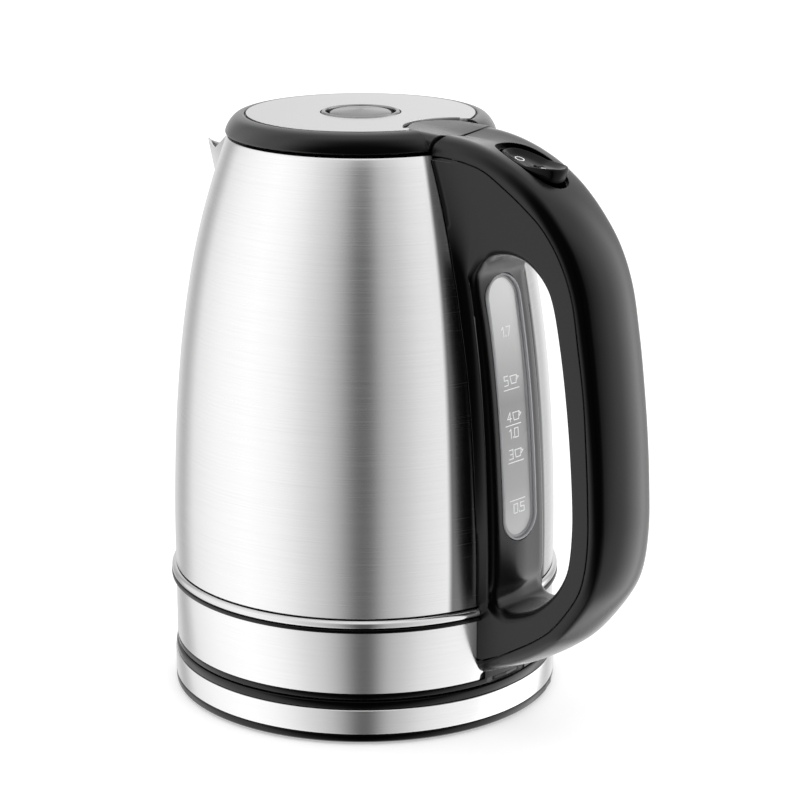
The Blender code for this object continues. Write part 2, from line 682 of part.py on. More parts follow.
def water_window():
    band = [(strip_front(z), z) for z in np.linspace(WINDOW_LOW - 2, WINDOW_HIGH + 2, 12)]
    back = [(x - 1.8, z) for x, z in reversed(band)]
    window = plate("water_window", band + back, -20.0, 20.0, "Y", CLEAR)
    outline = stadium(WINDOW_HALF_WIDTH - GAP, WINDOW_LOW + GAP, WINDOW_HIGH - GAP)
    combine(window, plate("window_outline", outline, 50.0, 110.0, "X"), "INTERSECT")
    behind = [(x - 2.1, z) for x, z in band]
    deep = [(x - 12.0, z) for x, z in reversed(band)]
    gasket = plate("window_gasket", behind + deep, -20.0, 20.0, "Y", RUBBER)
    combine(gasket, plate("gasket_outline", outline, 50.0, 110.0, "X"), "INTERSECT")
    cut(gasket, plate("gasket_hole", stadium(8.0, WINDOW_LOW + 3.2, WINDOW_HIGH - 3.2),
                      50.0, 110.0, "X"), body_clearance("gasket_clearance", GAP))


# ---- switch ----

def rocker_point(along_slope, across, up):
    """World point in mm from the rocker's own frame, which leans with the handle's top."""
    x = ROCKER_X + along_slope * math.cos(ROCKER_TILT) + up * math.sin(ROCKER_TILT)
    z = ROCKER_Z - along_slope * math.sin(ROCKER_TILT) + up * math.cos(ROCKER_TILT)
    return (x, across, z)


def rocker_rings(levels, steps=28):
    """Oval rings, each given as height, middle, half length and half width."""
    rings = []
    for up, middle, half_length, half_width in levels:
        ring = []
        for i in range(steps):
            angle = 2 * math.pi * i / steps
            ring.append(rocker_point(middle + half_length * math.cos(angle),
                                     half_width * math.sin(angle), up))
        rings.append(ring)
    return rings


def rocker_switch():
    """Oval button with a sloping top: its lid end is pressed in and its lower end stands up."""
    rings = rocker_rings([(-6.0, 0.8, 14.6, 8.7), (-4.0, 0.8, 15.2, 9.1)])
    for lift, middle, half_length, half_width in ((-1.2, 0.3, 15.0, 9.3), (0.0, -1.2, 13.2, 8.2)):
        ring = []
        for i in range(len(rings[0])):
            angle = 2 * math.pi * i / len(rings[0])
            place_along = middle + half_length * math.cos(angle)
            top = 1.6 + 0.2 * (place_along - 1.6) + lift
            ring.append(rocker_point(place_along, half_width * math.sin(angle), top))
        rings.append(ring)
    rocker = loft("rocker_switch", rings, GLOSS)
    pivot = rocker_pivot()
    join(rocker, block("rocker_lever", (4.0, 8.0, 8.0), rocker_point(1.5, 0.0, -8.4),
                       tilt=ROCKER_TILT))
    cut(rocker, rod("rocker_bore", 1.5, (pivot[0], -12.0, pivot[2]), (pivot[0], 12.0, pivot[2])))


def rocker_pivot():
    return rocker_point(1.5, 0.0, -4.2)


def switch_parts():
    bezel = loft("switch_bezel", rocker_rings([(-9.2, 0.2, 18.4, 10.6), (-2.6, 0.2, 18.4, 10.6)]),
                 BLACK)
    cut(bezel, loft("bezel_hole", rocker_rings([(-16.0, 0.8, 16.6, 9.4), (9.0, 0.8, 16.6, 9.4)])))
    pivot = rocker_pivot()
    cut(bezel, rod("bezel_bore", 1.5, (pivot[0], -10.3, pivot[2]), (pivot[0], 10.3, pivot[2])))
    rod("rocker_pin", 1.2, (pivot[0], -10.0, pivot[2]), (pivot[0], 10.0, pivot[2]), BRIGHT, 12)
    housing = block("switch_housing", (20.0, 22.0, 16.0), rocker_point(1.5, 0.0, -17.5), BLACK,
                    ROCKER_TILT, 0.8)
    well = block("housing_well", (16.0, 15.0, 14.0), rocker_point(1.5, 0.0, -11.5),
                 tilt=ROCKER_TILT)
    cut(housing, well)
    turned("steam_disc", [(0.0, 203.2), (5.0, 202.6), (5.0, 202.1), (0.0, 202.7)], BRASS,
           SMALL_STEPS, (81.0, 0.0))
    tube("steam_tube", [(58.0, 0.0, 212.0), (64.0, 0.0, 212.0), (66.2, 0.0, 212.0)], 3.0, RUBBER)
    tube("switch_leads", [(x, 0.0, z) for x, z in smooth_line(LEAD_ROUTE, 1)], 1.6, RUBBER)


# ---- lid ----

def tongue_rings():
    """Strap from the lid's disc to the handle: a round front end and a dished top."""
    rings = []
    for x in (31.4, 32.4, 35.0, 39.0, 45.0, 51.0, 60.0):
        reach = 20.2 ** 2 - max(0.0, 51.0 - x) ** 2
        half = min(HANDLE_HALF_WIDTH, math.sqrt(max(4.0, reach)))
        share = min(1.0, (x - 31.4) / 23.0)
        middle = 239.6 - 2.9 * share
        shoulder = 239.6 - 0.6 * share
        edge = min(3.0, half * 0.4)
        half_ring = [(half, 232.2), (half, shoulder - edge)]
        half_ring += [(half - 0.3 * edge, shoulder - 0.3 * edge), (half - edge, shoulder)]
        full = half_ring + [(0.0, middle)] + [(-y, z) for y, z in reversed(half_ring)]
        rings.append([(x, y, z) for y, z in full])
    return rings


def lid_ring():
    ring = turned("lid_ring", [
        (46.9, 239.8), (48.0, 239.9), (50.2, 239.2), (52.0, 237.7), (53.6, 235.4), (54.4, 233.6),
        (54.5, 232.7), (54.0, 232.2), (52.4, 232.2), (47.6, 236.9), (16.4, 236.9), (16.4, 238.5),
        (46.9, 238.5),
    ], BLACK)
    tongue = loft("lid_tongue", tongue_rings())
    crest = block("crest_on_tongue", (30.0, 33.0, 12.0), (48.0, 0.0, 239.0))
    nose = rod("nose_clearance", NOSE_RADIUS + 0.5, (HINGE_X, -17.4, HINGE_Z),
               (HINGE_X, 17.4, HINGE_Z), sides=40)
    rear = block("tongue_end", (20.0, 44.0, 20.0), (68.6, 0.0, 240.0))
    arm_room = block("arm_room", (16.0, 19.0, 6.0), (50.0, 0.0, 232.6))
    cut(ring, crest)
    join(ring, tongue)
    cut(ring, nose, rear, arm_room)


def disc_outline():
    """Round plate outline with a round bite on the handle side whose corners are rounded."""
    outline = arc((0.0, 0.0), 46.5, 27.0, 333.0, 48)
    outline += arc((39.4, -18.4), 3.0, -25.0, 80.0, 5)
    outline += arc((51.0, 0.0), 20.6, 233.0, 127.0, 13)
    outline += arc((39.4, 18.4), 3.0, -80.0, 25.0, 5)
    return outline


def lid_disc():
    disc = plate("lid_disc", disc_outline(), 238.8, 239.8, "Z", STEEL)
    cut(disc, rod("disc_hole", 16.2, (0.0, 0.0, 230.0), (0.0, 0.0, 250.0), sides=40))


def lid_button():
    turned("lid_button", [(0.0, 241.4), (6.0, 241.1), (11.0, 240.6), (12.4, 240.0), (12.7, 239.2),
                          (12.7, 234.0), (11.4, 234.0), (11.4, 238.2), (3.0, 238.2), (3.0, 229.5),
                          (0.0, 229.5)], SATIN, 32)
    turned("button_bezel", [(15.4, 240.6), (15.9, 240.0), (15.9, 235.6), (13.4, 235.6),
                            (13.4, 240.0), (13.8, 240.5)], SATIN, 32)
    coil = []
    for turn in np.linspace(0.0, 3.5, 36):
        angle = 2 * math.pi * turn
        coil.append((6.0 * math.cos(angle), 6.0 * math.sin(angle), 224.0 + 3.85 * turn))
    tube("button_spring", coil, 0.45, BRIGHT, 1)


def lid_inner_cover():
    cover = turned("lid_inner_cover", [
        (0.0, 223.0), (45.6, 223.0), (45.6, 236.4), (46.9, 236.4), (46.9, 222.2), (46.0, 221.4),
        (0.0, 221.4),
    ], BLACK)
    notch = block("cover_hinge_notch", (12.0, 17.6, 9.6), (47.0, 0.0, 227.9))
    tongue = block("cover_tongue_notch", (20.0, 35.0, 10.0), (48.0, 0.0, 236.9))
    latch = block("cover_latch_slot", (12.0, 10.6, 4.6), (-47.0, 0.0, 228.0))
    cut(cover, notch, latch, tongue)


def lid_seal():
    seal = turned("lid_seal", [(48.9, 223.0), (49.2, 222.5), (48.9, 222.0), (47.2, 222.0),
                               (47.2, 223.0)], RUBBER)
    cut(seal, block("seal_hinge_notch", (12.0, 17.6, 6.0), (50.0, 0.0, 223.0)))


def hinge_arm():
    """Cranked arm from the inner cover, through the notches, to the pin."""
    centre = (HINGE_X, HINGE_Z)
    outline = [(30.0, 223.4), (46.0, 223.4), (50.0, 222.6), (54.4, 223.6)]
    outline += arc(centre, 3.6, -110.0, 204.0, 12)
    outline += [(56.6, 228.0), (53.0, 225.8), (49.6, 224.8), (46.0, 225.4), (30.0, 225.4)]
    arm = plate("hinge_arm", outline, -8.0, 8.0, "Y", BLACK)
    cut(arm, rod("arm_bore", 1.6, (HINGE_X, -20.0, HINGE_Z), (HINGE_X, 20.0, HINGE_Z)))


def latch_bolt():
    block("latch_bolt", (32.0, 10.0, 4.0), (-33.4, 0.0, 228.0), WHITE_PLASTIC, edge=0.5)


# ---- moving groups ----

def hang(axis_name, at, names, parent=None):
    """Parent the pieces of a moving group to an empty on its joint's axis."""
    empty = bpy.data.objects.new(axis_name, None)
    PARTS.objects.link(empty)
    empty.location = Vector(at) * MM
    for name in names:
        piece = bpy.data.objects[name]
        piece.parent = empty
        piece.matrix_parent_inverse = Matrix.Translation(-Vector(at) * MM)
    if parent:
        empty.parent = parent
        empty.matrix_parent_inverse = Matrix.Translation(-parent.location)
    return empty


def hang_moving_groups():
    base = ("base_", "cord_", "connector_", "live_", "neutral_", "earth_", "socket_")
    lid = ["lid_ring", "lid_disc", "button_bezel", "lid_inner_cover", "lid_seal", "hinge_arm",
           "button_spring"]
    lone = ["lid_button", "latch_bolt", "rocker_switch"]
    kettle = [piece.name for piece in PARTS.objects if piece.name not in lid + lone
              and (piece.name == "base_moulding" or not piece.name.startswith(base))]
    kettle_axis = hang("kettle_axis", (0.0, 0.0, 0.0), kettle)
    lid_axis = hang("lid_axis", (HINGE_X, 0.0, HINGE_Z), lid, kettle_axis)
    hang("button_axis", (0.0, 0.0, 241.4), ["lid_button"], lid_axis)
    hang("latch_axis", (-33.4, 0.0, 228.0), ["latch_bolt"], lid_axis)
    hang("rocker_axis", rocker_pivot(), ["rocker_switch"], kettle_axis)


clear_scene()
PARTS = new_collection("electric_kettle")
CUTTERS = new_collection("cutters")
BLACK = make_look("black_plastic", (0.030, 0.030, 0.031), 0.42)
GLOSS = make_look("gloss_black_plastic", (0.012, 0.012, 0.012), 0.12)
STEEL = make_look("brushed_steel", (0.78, 0.78, 0.78), 0.30, 1.0)
BRIGHT = make_look("plated_metal", (0.66, 0.66, 0.66), 0.25, 1.0)
SATIN = make_look("satin_grey_metal", (0.40, 0.40, 0.41), 0.35, 1.0)
BRASS = make_look("brass", (0.72, 0.52, 0.24), 0.30, 1.0)
RUBBER = make_look("silicone", (0.16, 0.16, 0.16), 0.70)
WHITE_PLASTIC = make_look("white_plastic", (0.75, 0.75, 0.72), 0.50)
CLEAR = make_look("frosted_window", (0.72, 0.74, 0.75), 0.30)

base_tray()
cord_outlet()
base_steel_band()
base_top_cover()
base_fasteners()
base_connector()
base_moulding()
drain_slot_insert()
lower_band()
trim_bead()
heater()
body_shell()
spout()
mouth_collar()
spout_filter()
handle_inner_shell()
handle_outer_shell()
lid_hinge()
handle_screws()
water_window()
rocker_switch()
switch_parts()
lid_ring()
lid_disc()
lid_button()
lid_inner_cover()
lid_seal()
hinge_arm()
latch_bolt()
hang_moving_groups()
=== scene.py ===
"""Looks of the electric kettle: fine surfaces, materials, light and camera around the CAD frame."""

import json
import math

import bmesh
import bpy
import numpy as np
from mathutils import Matrix, Vector


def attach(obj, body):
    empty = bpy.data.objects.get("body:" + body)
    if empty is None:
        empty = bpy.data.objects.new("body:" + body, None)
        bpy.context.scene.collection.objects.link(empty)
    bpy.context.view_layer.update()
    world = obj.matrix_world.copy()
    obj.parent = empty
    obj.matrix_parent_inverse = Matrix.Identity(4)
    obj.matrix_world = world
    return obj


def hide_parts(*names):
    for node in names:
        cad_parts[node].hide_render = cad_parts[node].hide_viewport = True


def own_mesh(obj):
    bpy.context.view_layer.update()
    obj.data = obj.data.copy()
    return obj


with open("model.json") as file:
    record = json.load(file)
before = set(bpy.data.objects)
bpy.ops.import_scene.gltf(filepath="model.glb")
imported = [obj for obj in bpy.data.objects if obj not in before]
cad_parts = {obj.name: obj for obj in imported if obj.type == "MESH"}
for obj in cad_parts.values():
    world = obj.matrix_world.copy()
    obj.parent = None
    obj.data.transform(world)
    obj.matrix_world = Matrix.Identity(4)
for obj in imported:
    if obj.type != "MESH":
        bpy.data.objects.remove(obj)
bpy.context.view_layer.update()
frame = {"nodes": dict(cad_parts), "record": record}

MM = 0.001
SEGMENTS = 192
BODY_TOP = 231.2
BODY_BOTTOM = 53.0
BAND_RADIUS = 79.1
SHEET = 0.9
HALF_WIDTH = 17.0
WALL = 2.2
HANDLE_GAP = 0.2
SPOUT_LOW = 138.0
SPOUT_TIP = 219.0
HINGE = (62.0, 230.6)
NOSE_RADIUS = 10.0
SLOT_HALF_WIDTH = 8.8
WINDOW_LOW = 78.4
WINDOW_HIGH = 185.5
WINDOW_HALF_WIDTH = 10.2
PANE_DEPTH = 1.9
ROCKER_X = 88.3
ROCKER_Z = 230.8
ROCKER_TILT = math.radians(21.0)
ROCKER_FOOT = -6.0
ROCKER_DISH = 1.6
LID_SHIFT = -1.3

BODY_LINE = [
    (53.0, 79.1), (75.0, 79.1), (100.0, 78.3), (125.0, 76.8), (150.0, 74.3),
    (175.0, 70.5), (195.0, 66.2), (212.0, 61.4), (224.0, 57.5), (231.2, 54.9),
]
HANDLE_STATIONS = [
    (46.0, 229.8, 46.0, 237.2, -2.2), (51.8, 230.4, 54.5, 236.8, -2.2),
    (60.0, 230.6, 63.0, 236.6, -1.8), (68.3, 230.0, 72.0, 236.0, -0.9),
    (78.0, 228.0, 82.0, 234.0, 0.0), (88.0, 222.9, 93.0, 229.8, 0.6),
    (98.0, 216.8, 104.5, 223.2, 1.0), (107.5, 209.6, 114.8, 214.4, 1.5),
    (115.9, 198.9, 124.2, 202.4, 2.0), (121.9, 185.3, 130.9, 187.3, 2.3),
    (125.4, 166.8, 135.2, 167.9, 2.5), (128.4, 148.0, 138.0, 148.8, 2.5),
    (130.1, 128.8, 140.2, 129.2, 2.5), (131.4, 109.3, 141.4, 109.4, 2.5),
    (131.8, 92.0, 141.6, 91.6, 2.5), (130.2, 78.0, 139.4, 75.2, 2.5),
    (126.2, 67.6, 134.2, 63.2, 2.4), (116.2, 54.2, 122.4, 48.0, 2.2),
    (107.0, 46.4, 112.0, 39.4, 1.8), (94.6, 38.6, 98.4, 31.0, 1.4),
    (84.0, 32.4, 86.4, 25.6, 1.0), (73.0, 26.8, 74.0, 20.2, 0.8),
]
OPENING_OUTER = [
    (76.5, 189.0), (82.0, 194.6), (91.0, 196.0), (99.9, 194.2), (107.4, 188.7), (111.8, 181.0),
    (115.6, 164.8), (118.7, 146.0), (121.0, 127.0), (122.6, 107.4), (122.9, 94.0),
    (121.6, 80.6), (118.4, 72.4), (113.0, 65.2), (104.6, 58.4), (95.0, 54.4), (88.0, 54.0),
    (84.6, 57.5),
]
STRIP_LINE = [(60.0, 6.6), (85.0, 6.6), (110.0, 6.3), (140.0, 5.9), (165.0, 5.4), (190.0, 5.0)]
HOLLOW_LINE = [
    (67.0, 229.4), (67.0, 219.0), (69.0, 208.6), (75.0, 201.6), (83.0, 199.6), (93.0, 200.0),
    (103.4, 197.0), (111.4, 190.0), (116.2, 181.0), (119.8, 165.0), (122.8, 146.4),
    (125.1, 127.2), (126.7, 107.4), (127.0, 94.0), (125.6, 79.0), (121.8, 70.0),
    (115.6, 61.8), (106.4, 54.6), (96.0, 49.0), (87.0, 44.6), (83.4, 39.0), (84.4, 30.0),
]


# ---- shapes ----

def smooth_line(points, steps):
    """Catmull-Rom curve through the points, with this many pieces between neighbours."""
    known = np.array(points, float)
    padded = np.vstack([2 * known[0] - known[1], known, 2 * known[-1] - known[-2]])
    line = []
    for i in range(1, len(padded) - 2):
        a, b, c, d = padded[i - 1:i + 3]
        for t in np.arange(steps) / steps:
            line.append(0.5 * (2 * b + (c - a) * t + (2 * a - 5 * b + 4 * c - d) * t**2
                               + (3 * b - a - 3 * c + d) * t**3))
    line.append(padded[-2])
    return np.array(line)


BODY_CURVE = smooth_line(BODY_LINE, 16)
STRIP_CURVE = smooth_line(STRIP_LINE, 8)


def body_radius(height):
    return float(np.interp(height, BODY_CURVE[:, 0], BODY_CURVE[:, 1]))


def strip_front(height):
    """Front of the strip behind the handle, as a distance from the axis."""
    return body_radius(height) + float(np.interp(height, STRIP_CURVE[:, 0], STRIP_CURVE[:, 1]))


def arc(centre, radius, start, end, points):
    angles = np.radians(np.linspace(start, end, points))
    return [(centre[0] + radius * math.cos(a), centre[1] + radius * math.sin(a)) for a in angles]


def rounded(corners, radius, steps=4):
    """Closed outline with each corner cut by a small arc."""
    points = []
    count = len(corners)
    for i in range(count):
        before, here, after = (np.array(corners[(i + k) % count], float) for k in (-1, 0, 1))
        reach = min(radius, np.linalg.norm(before - here) / 2.2, np.linalg.norm(after - here) / 2.2)
        start = here + (before - here) / np.linalg.norm(before - here) * reach
        end = here + (after - here) / np.linalg.norm(after - here) * reach
        for t in np.linspace(0.0, 1.0, steps):
            points.append(tuple((1 - t) ** 2 * start + 2 * t * (1 - t) * here + t ** 2 * end))
    return points


def raw_object(name, verts, faces):
    """Object from points in millimetres, as they are given."""
    mesh = bpy.data.meshes.new(name)
    mesh.from_pydata([tuple(float(value) * MM for value in vert) for vert in verts], [], faces)
    obj = bpy.data.objects.new(name, mesh)
    bpy.context.scene.collection.objects.link(obj)
    return obj


def new_object(name, verts, faces):
    """Object from points in millimetres, with equal points joined and faces turned outward."""
    obj = raw_object(name, verts, faces)
    work = bmesh.new()
    work.from_mesh(obj.data)
    bmesh.ops.remove_doubles(work, verts=work.verts, dist=0.000002)
    bmesh.ops.recalc_face_normals(work, faces=work.faces)
    work.to_mesh(obj.data)
    work.free()
    return obj


def ring_faces(rings, count, start=0):
    """Faces between neighbouring closed rings of this many points each."""
    faces = []
    for i in range(rings - 1):
        near, far = start + i * count, start + (i + 1) * count
        for k in range(count):
            m = (k + 1) % count
            faces.append((near + k, near + m, far + m, far + k))
    return faces


def lathe(name, profile, segments=SEGMENTS, at=(0.0, 0.0)):
    """Ring or disc turned about Z from a closed outline of (radius, height)."""
    verts = []
    for i in range(segments):
        angle = 2 * math.pi * i / segments
        verts += [(at[0] + r * math.cos(angle), at[1] + r * math.sin(angle), z)
                  for r, z in profile]
    count = len(profile)
    faces = []
    for i in range(segments):
        j = (i + 1) % segments
        for k in range(count):
            m = (k + 1) % count
            faces.append((i * count + k, j * count + k, j * count + m, i * count + m))
    obj = new_object(name, verts, faces)
    if min(r for r, z in profile) < 0.001:
        clean_axis(obj)
    return obj


def clean_axis(obj):
    """Drop the faces that collapsed on the axis."""
    work = bmesh.new()
    work.from_mesh(obj.data)
    bmesh.ops.dissolve_degenerate(work, edges=work.edges, dist=0.000001)
    bmesh.ops.recalc_face_normals(work, faces=work.faces)
    work.to_mesh(obj.data)
    work.free()


def loft(name, rings):
    """Closed solid through rings of equally many points, with flat ends."""
    count = len(rings[0])
    verts = [point for ring in rings for point in ring]
    faces = ring_faces(len(rings), count)
    faces.append(tuple(range(count)))
    faces.append(tuple(range((len(rings) - 1) * count, len(rings) * count)))
    return new_object(name, verts, faces)


def plate(name, outline, low, high, axis):
    """Flat outline made thick along an axis: (x, y) for Z, (x, z) for Y, (y, z) for X."""
    rings = []
    for level in (low, high):
        if axis == "Z":
            rings.append([(a, b, level) for a, b in outline])
        elif axis == "Y":
            rings.append([(a, level, b) for a, b in outline])
        else:
            rings.append([(level, a, b) for a, b in outline])
    return loft(name, rings)


def block(name, size, centre, matrix=None):
    x, y, z = (value / 2 for value in size)
    outline = [(-x, -y), (x, -y), (x, y), (-x, y)]
    obj = plate(name, outline, -z, z, "Z")
    obj.data.transform(matrix or Matrix.Translation(Vector(centre) * MM))
    return obj


def rod(name, radius, start, end, sides=32):
    low, high = Vector(start) * MM, Vector(end) * MM
    ring = [(radius * math.cos(2 * math.pi * i / sides), radius * math.sin(2 * math.pi * i / sides))
            for i in range(sides)]
    obj = plate(name, ring, 0.0, (high - low).length / MM, "Z")
    turn = (high - low).to_track_quat("Z", "Y").to_matrix().to_4x4()
    obj.data.transform(Matrix.Translation(low) @ turn)
    return obj


def change(obj, others, operation="DIFFERENCE"):
    """Cut or join with other solids, keep the result and drop the others."""
    for other in others:
        modifier = obj.modifiers.new("cut", "BOOLEAN")
        modifier.operation = operation
        modifier.solver = "EXACT"
        modifier.object = other
    bpy.context.view_layer.update()
    graph = bpy.context.evaluated_depsgraph_get()
    mesh = bpy.data.meshes.new_from_object(obj.evaluated_get(graph))
    obj.modifiers.clear()
    obj.data = mesh
    for other in others:
        bpy.data.objects.remove(other, do_unlink=True)
    return obj


def piece(obj, body, look, replaced=(), sharp=32.0):
    """Finish a piece: smooth shading, material, the body it rides and the nodes it stands for."""
    mesh = obj.data
    mesh.materials.clear()
    mesh.materials.append(look)
    mesh.shade_smooth()
    mesh.set_sharp_from_angle(angle=math.radians(sharp))
    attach(obj, body)
    if replaced:
        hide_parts(*replaced)
    return obj


# ---- materials ----

def add_node(tree, kind, inputs=None, **settings):
    """Shader node with its settings, each input a value or another node's output."""
    made = tree.nodes.new("ShaderNode" + kind)
    for key, value in settings.items():
        setattr(made, key, value)
    for key, value in (inputs or {}).items():
        if hasattr(value, "is_output"):
            tree.links.new(value, made.inputs[key])
        else:
            made.inputs[key].default_value = value
    return made


class Look:
    """A material being built from nodes."""

    def __init__(self, name, **settings):
        self.material = bpy.data.materials.new(name)
        self.material.use_nodes = True
        self.tree = self.material.node_tree
        self.shader = self.tree.nodes["Principled BSDF"]
        for socket, value in settings.items():
            self.put(socket.replace("_", " "), value)

    def put(self, socket, value):
        target = self.shader.inputs[socket]
        if socket in ("Base Color", "Emission Color"):
            value = (*value, 1.0)
        target.default_value = value

    def node(self, kind, inputs=None, **settings):
        return add_node(self.tree, kind, inputs, **settings)

    def math(self, operation, a, b=0.0):
        return self.node("Math", {0: a, 1: b}, operation=operation).outputs[0]

    def link(self, output, socket):
        self.tree.links.new(output, self.shader.inputs[socket])

    def spread(self, factor, low, high):
        """Factor of 0 to 1 mapped on to a range of values."""
        return self.node("MapRange", {"Value": factor, "To Min": low, "To Max": high}).outputs[0]

    def position(self):
        return self.node("TexCoord").outputs["Object"]

    def noise(self, vector, scale, detail=2.0, roughness=0.5):
        return self.node("TexNoise", {"Vector": vector, "Scale": scale, "Detail": detail,
                                      "Roughness": roughness}).outputs["Fac"]

    def around(self, across, along_axis):
        """Coordinates that run round the Z axis and up it, each at its own scale."""
        parts = self.node("SeparateXYZ", {0: self.position()}).outputs
        angle = self.math("ARCTAN2", parts["Y"], parts["X"])
        turned = self.math("MULTIPLY", angle, across)
        height = self.math("MULTIPLY", parts["Z"], along_axis)
        radius = self.node("VectorMath", {0: self.position()}, operation="LENGTH").outputs["Value"]
        return self.node("CombineXYZ", {"X": turned, "Y": height, "Z": radius}).outputs[0]

    def rough_edges(self, bump_height, radius, strength=1.0, distance=0.00002):
        """Bump on top of edges that are rounded off by a small radius."""
        edge = self.node("Bevel", {"Radius": radius}, samples=6)
        bump = self.node("Bump", {"Strength": strength, "Distance": distance,
                                  "Height": bump_height, "Normal": edge.outputs[0]})
        self.link(bump.outputs[0], "Normal")


def brushed_steel(name, tint=0.80, rough=0.24, streak=1.0, paint_grip_reflection=False):
    """Steel with fine scratches that run round the Z axis; if asked, its colour gets a painted dark
    band close to the grip, a painted reflection of the black handle.
    """
    look = Look(name, Metallic=1.0, Anisotropic=0.75, Anisotropic_Rotation=0.25)
    fine = look.noise(look.around(3.0, 6000.0), 1.0, 2.0, 0.5)
    broad = look.noise(look.around(1.1, 1900.0), 1.0, 2.0, 0.5)
    both = look.math("ADD", look.math("MULTIPLY", fine, 0.6), look.math("MULTIPLY", broad, 0.4))
    look.link(look.spread(both, rough - 0.07 * streak, rough + 0.09 * streak), "Roughness")
    shade = look.spread(both, tint - 0.10 * streak, tint + 0.08 * streak)
    if paint_grip_reflection:
        # Painted reflection: within about 21 degrees of the grip's side the colour drops to 0.22 of
        # its tone, standing in for the black handle mirrored in the steel.
        parts = look.node("SeparateXYZ", {0: look.position()}).outputs
        turn = look.math("ABSOLUTE", look.math("ARCTAN2", parts["Y"], parts["X"]))
        near = look.node("MapRange", {"Value": turn, "From Min": math.radians(20.6),
                                      "From Max": math.radians(22.6), "To Min": 0.22},
                         interpolation_type="SMOOTHSTEP").outputs[0]
        shade = look.math("MULTIPLY", shade, near)
    colour = look.node("CombineColor", {"Red": shade, "Green": shade, "Blue": shade})
    look.link(colour.outputs[0], "Base Color")
    tangent = look.node("Tangent", direction_type="RADIAL", axis="Z")
    look.link(tangent.outputs[0], "Tangent")
    look.rough_edges(both, 0.0003, 0.05 * streak, 0.00001)
    return look.material


def lid_steel():
    """Steel sheet with straight fine scratches."""
    look = Look("lid_steel", Metallic=1.0)
    stretched = look.node("Mapping", {"Vector": look.position(), "Scale": (60.0, 5200.0, 1.0)})
    fine = look.noise(stretched.outputs[0], 1.0, 3.0, 0.6)
    look.link(look.spread(fine, 0.30, 0.42), "Roughness")
    shade = look.spread(fine, 0.70, 0.80)
    colour = look.node("CombineColor", {"Red": shade, "Green": shade, "Blue": shade})
    look.link(colour.outputs[0], "Base Color")
    look.rough_edges(fine, 0.0003, 0.12, 0.00001)
    return look.material


def moulded(name, shade, rough, grain=0.5, ior=1.45, edge=0.0005, rim=0.0):
    """Moulded plastic with a very fine grain. With a rim value its colour turns lighter seen edge
    on: a painted sheen.
    """
    look = Look(name, Base_Color=(shade, shade, shade * 1.04), IOR=ior)
    if rim:
        facing = look.node("LayerWeight", {"Blend": 0.5}).outputs["Facing"]
        gloss = look.node("MapRange", {"Value": facing, "From Min": 0.05, "From Max": 0.24,
                                       "To Min": 0.02, "To Max": 0.5},
                          interpolation_type="SMOOTHSTEP").outputs[0]
        more = look.node("MapRange", {"Value": facing, "From Min": 0.30, "From Max": 0.75,
                                      "To Max": 0.5}).outputs[0]
        look.link(look.math("ADD", gloss, more), "Specular IOR Level")
        # Painted sheen: the base colour rises from its own tone to the rim value where the surface
        # is seen edge on.
        painted_sheen = look.spread(look.math("POWER", facing, 5.0), shade, rim)
        colour = look.node("CombineColor", {"Red": painted_sheen, "Green": painted_sheen, "Blue": painted_sheen})
        look.link(colour.outputs[0], "Base Color")
    fine = look.noise(look.position(), 5200.0, 2.0)
    cloudy = look.noise(look.position(), 38.0, 3.0)
    look.link(look.spread(cloudy, rough - 0.03, rough + 0.03), "Roughness")
    look.rough_edges(fine, edge, grain, 0.00002)
    return look.material


def simple(name, colour, rough, metallic=0.0, painted_emission=0.0):
    """Plain finish for small inner pieces, with a little uneven roughness and, where asked, painted
    light shining from it.
    """
    look = Look(name, Base_Color=colour, Metallic=metallic)
    # Painted light: white emission that brightens the piece, though it is no lamp.
    if painted_emission:
        look.put("Emission Color", (1.0, 1.0, 1.0))
        look.put("Emission Strength", painted_emission)
    fine = look.noise(look.position(), 900.0, 3.0)
    look.link(look.spread(fine, rough - 0.06, rough + 0.06), "Roughness")
    look.rough_edges(fine, 0.0002, 0.2, 0.00002)
    return look.material


def window_look():
    """Frosted clear plastic with painted light: its grey runs lighter towards the top with darker
    bands between, copying how light falls on it, and the same grey shines as emission.
    """
    look = Look("window_plastic_painted_light", Base_Color=(0.50, 0.51, 0.52), IOR=1.49)
    cloudy = look.noise(look.position(), 60.0, 2.0)
    look.link(look.spread(cloudy, 0.22, 0.30), "Roughness")
    parts = look.node("SeparateXYZ", {0: look.position()}).outputs
    # Painted light and shade: a grey ramp up the pane's height, lighter at the top.
    height = look.node("MapRange", {"Value": parts["Z"], "From Min": WINDOW_LOW * MM,
                                    "From Max": WINDOW_HIGH * MM}).outputs[0]
    ramp = look.node("ValToRGB", {"Fac": height})
    stops = ramp.color_ramp.elements
    stops[0].position, stops[0].color = 0.0, (0.56, 0.56, 0.56, 1)
    stops[1].position, stops[1].color = 1.0, (0.80, 0.80, 0.80, 1)
    for place, shade in ((0.2, 0.36), (0.52, 0.27), (0.62, 0.38), (0.85, 0.62)):
        stop = stops.new(place)
        stop.color = (shade, shade, shade, 1)
    look.link(ramp.outputs[0], "Base Color")
    # Painted light: the ramp's grey also shines as emission, though the pane is no lamp.
    look.link(ramp.outputs[0], "Emission Color")
    look.put("Emission Strength", 0.24)
    look.rough_edges(cloudy, 0.0006, 0.1, 0.00002)
    return look.material


# For BLACK, BLACK_RING and BASE_BLACK the last value is the colour seen edge on: a painted sheen.
BLACK = moulded("black_plastic_look", 0.0010, 0.22, 0.4, 1.42, 0.0005, 0.34)
BLACK_RING = moulded("lid_plastic_look", 0.0012, 0.28, 0.6, 1.52, 0.0005, 0.20)
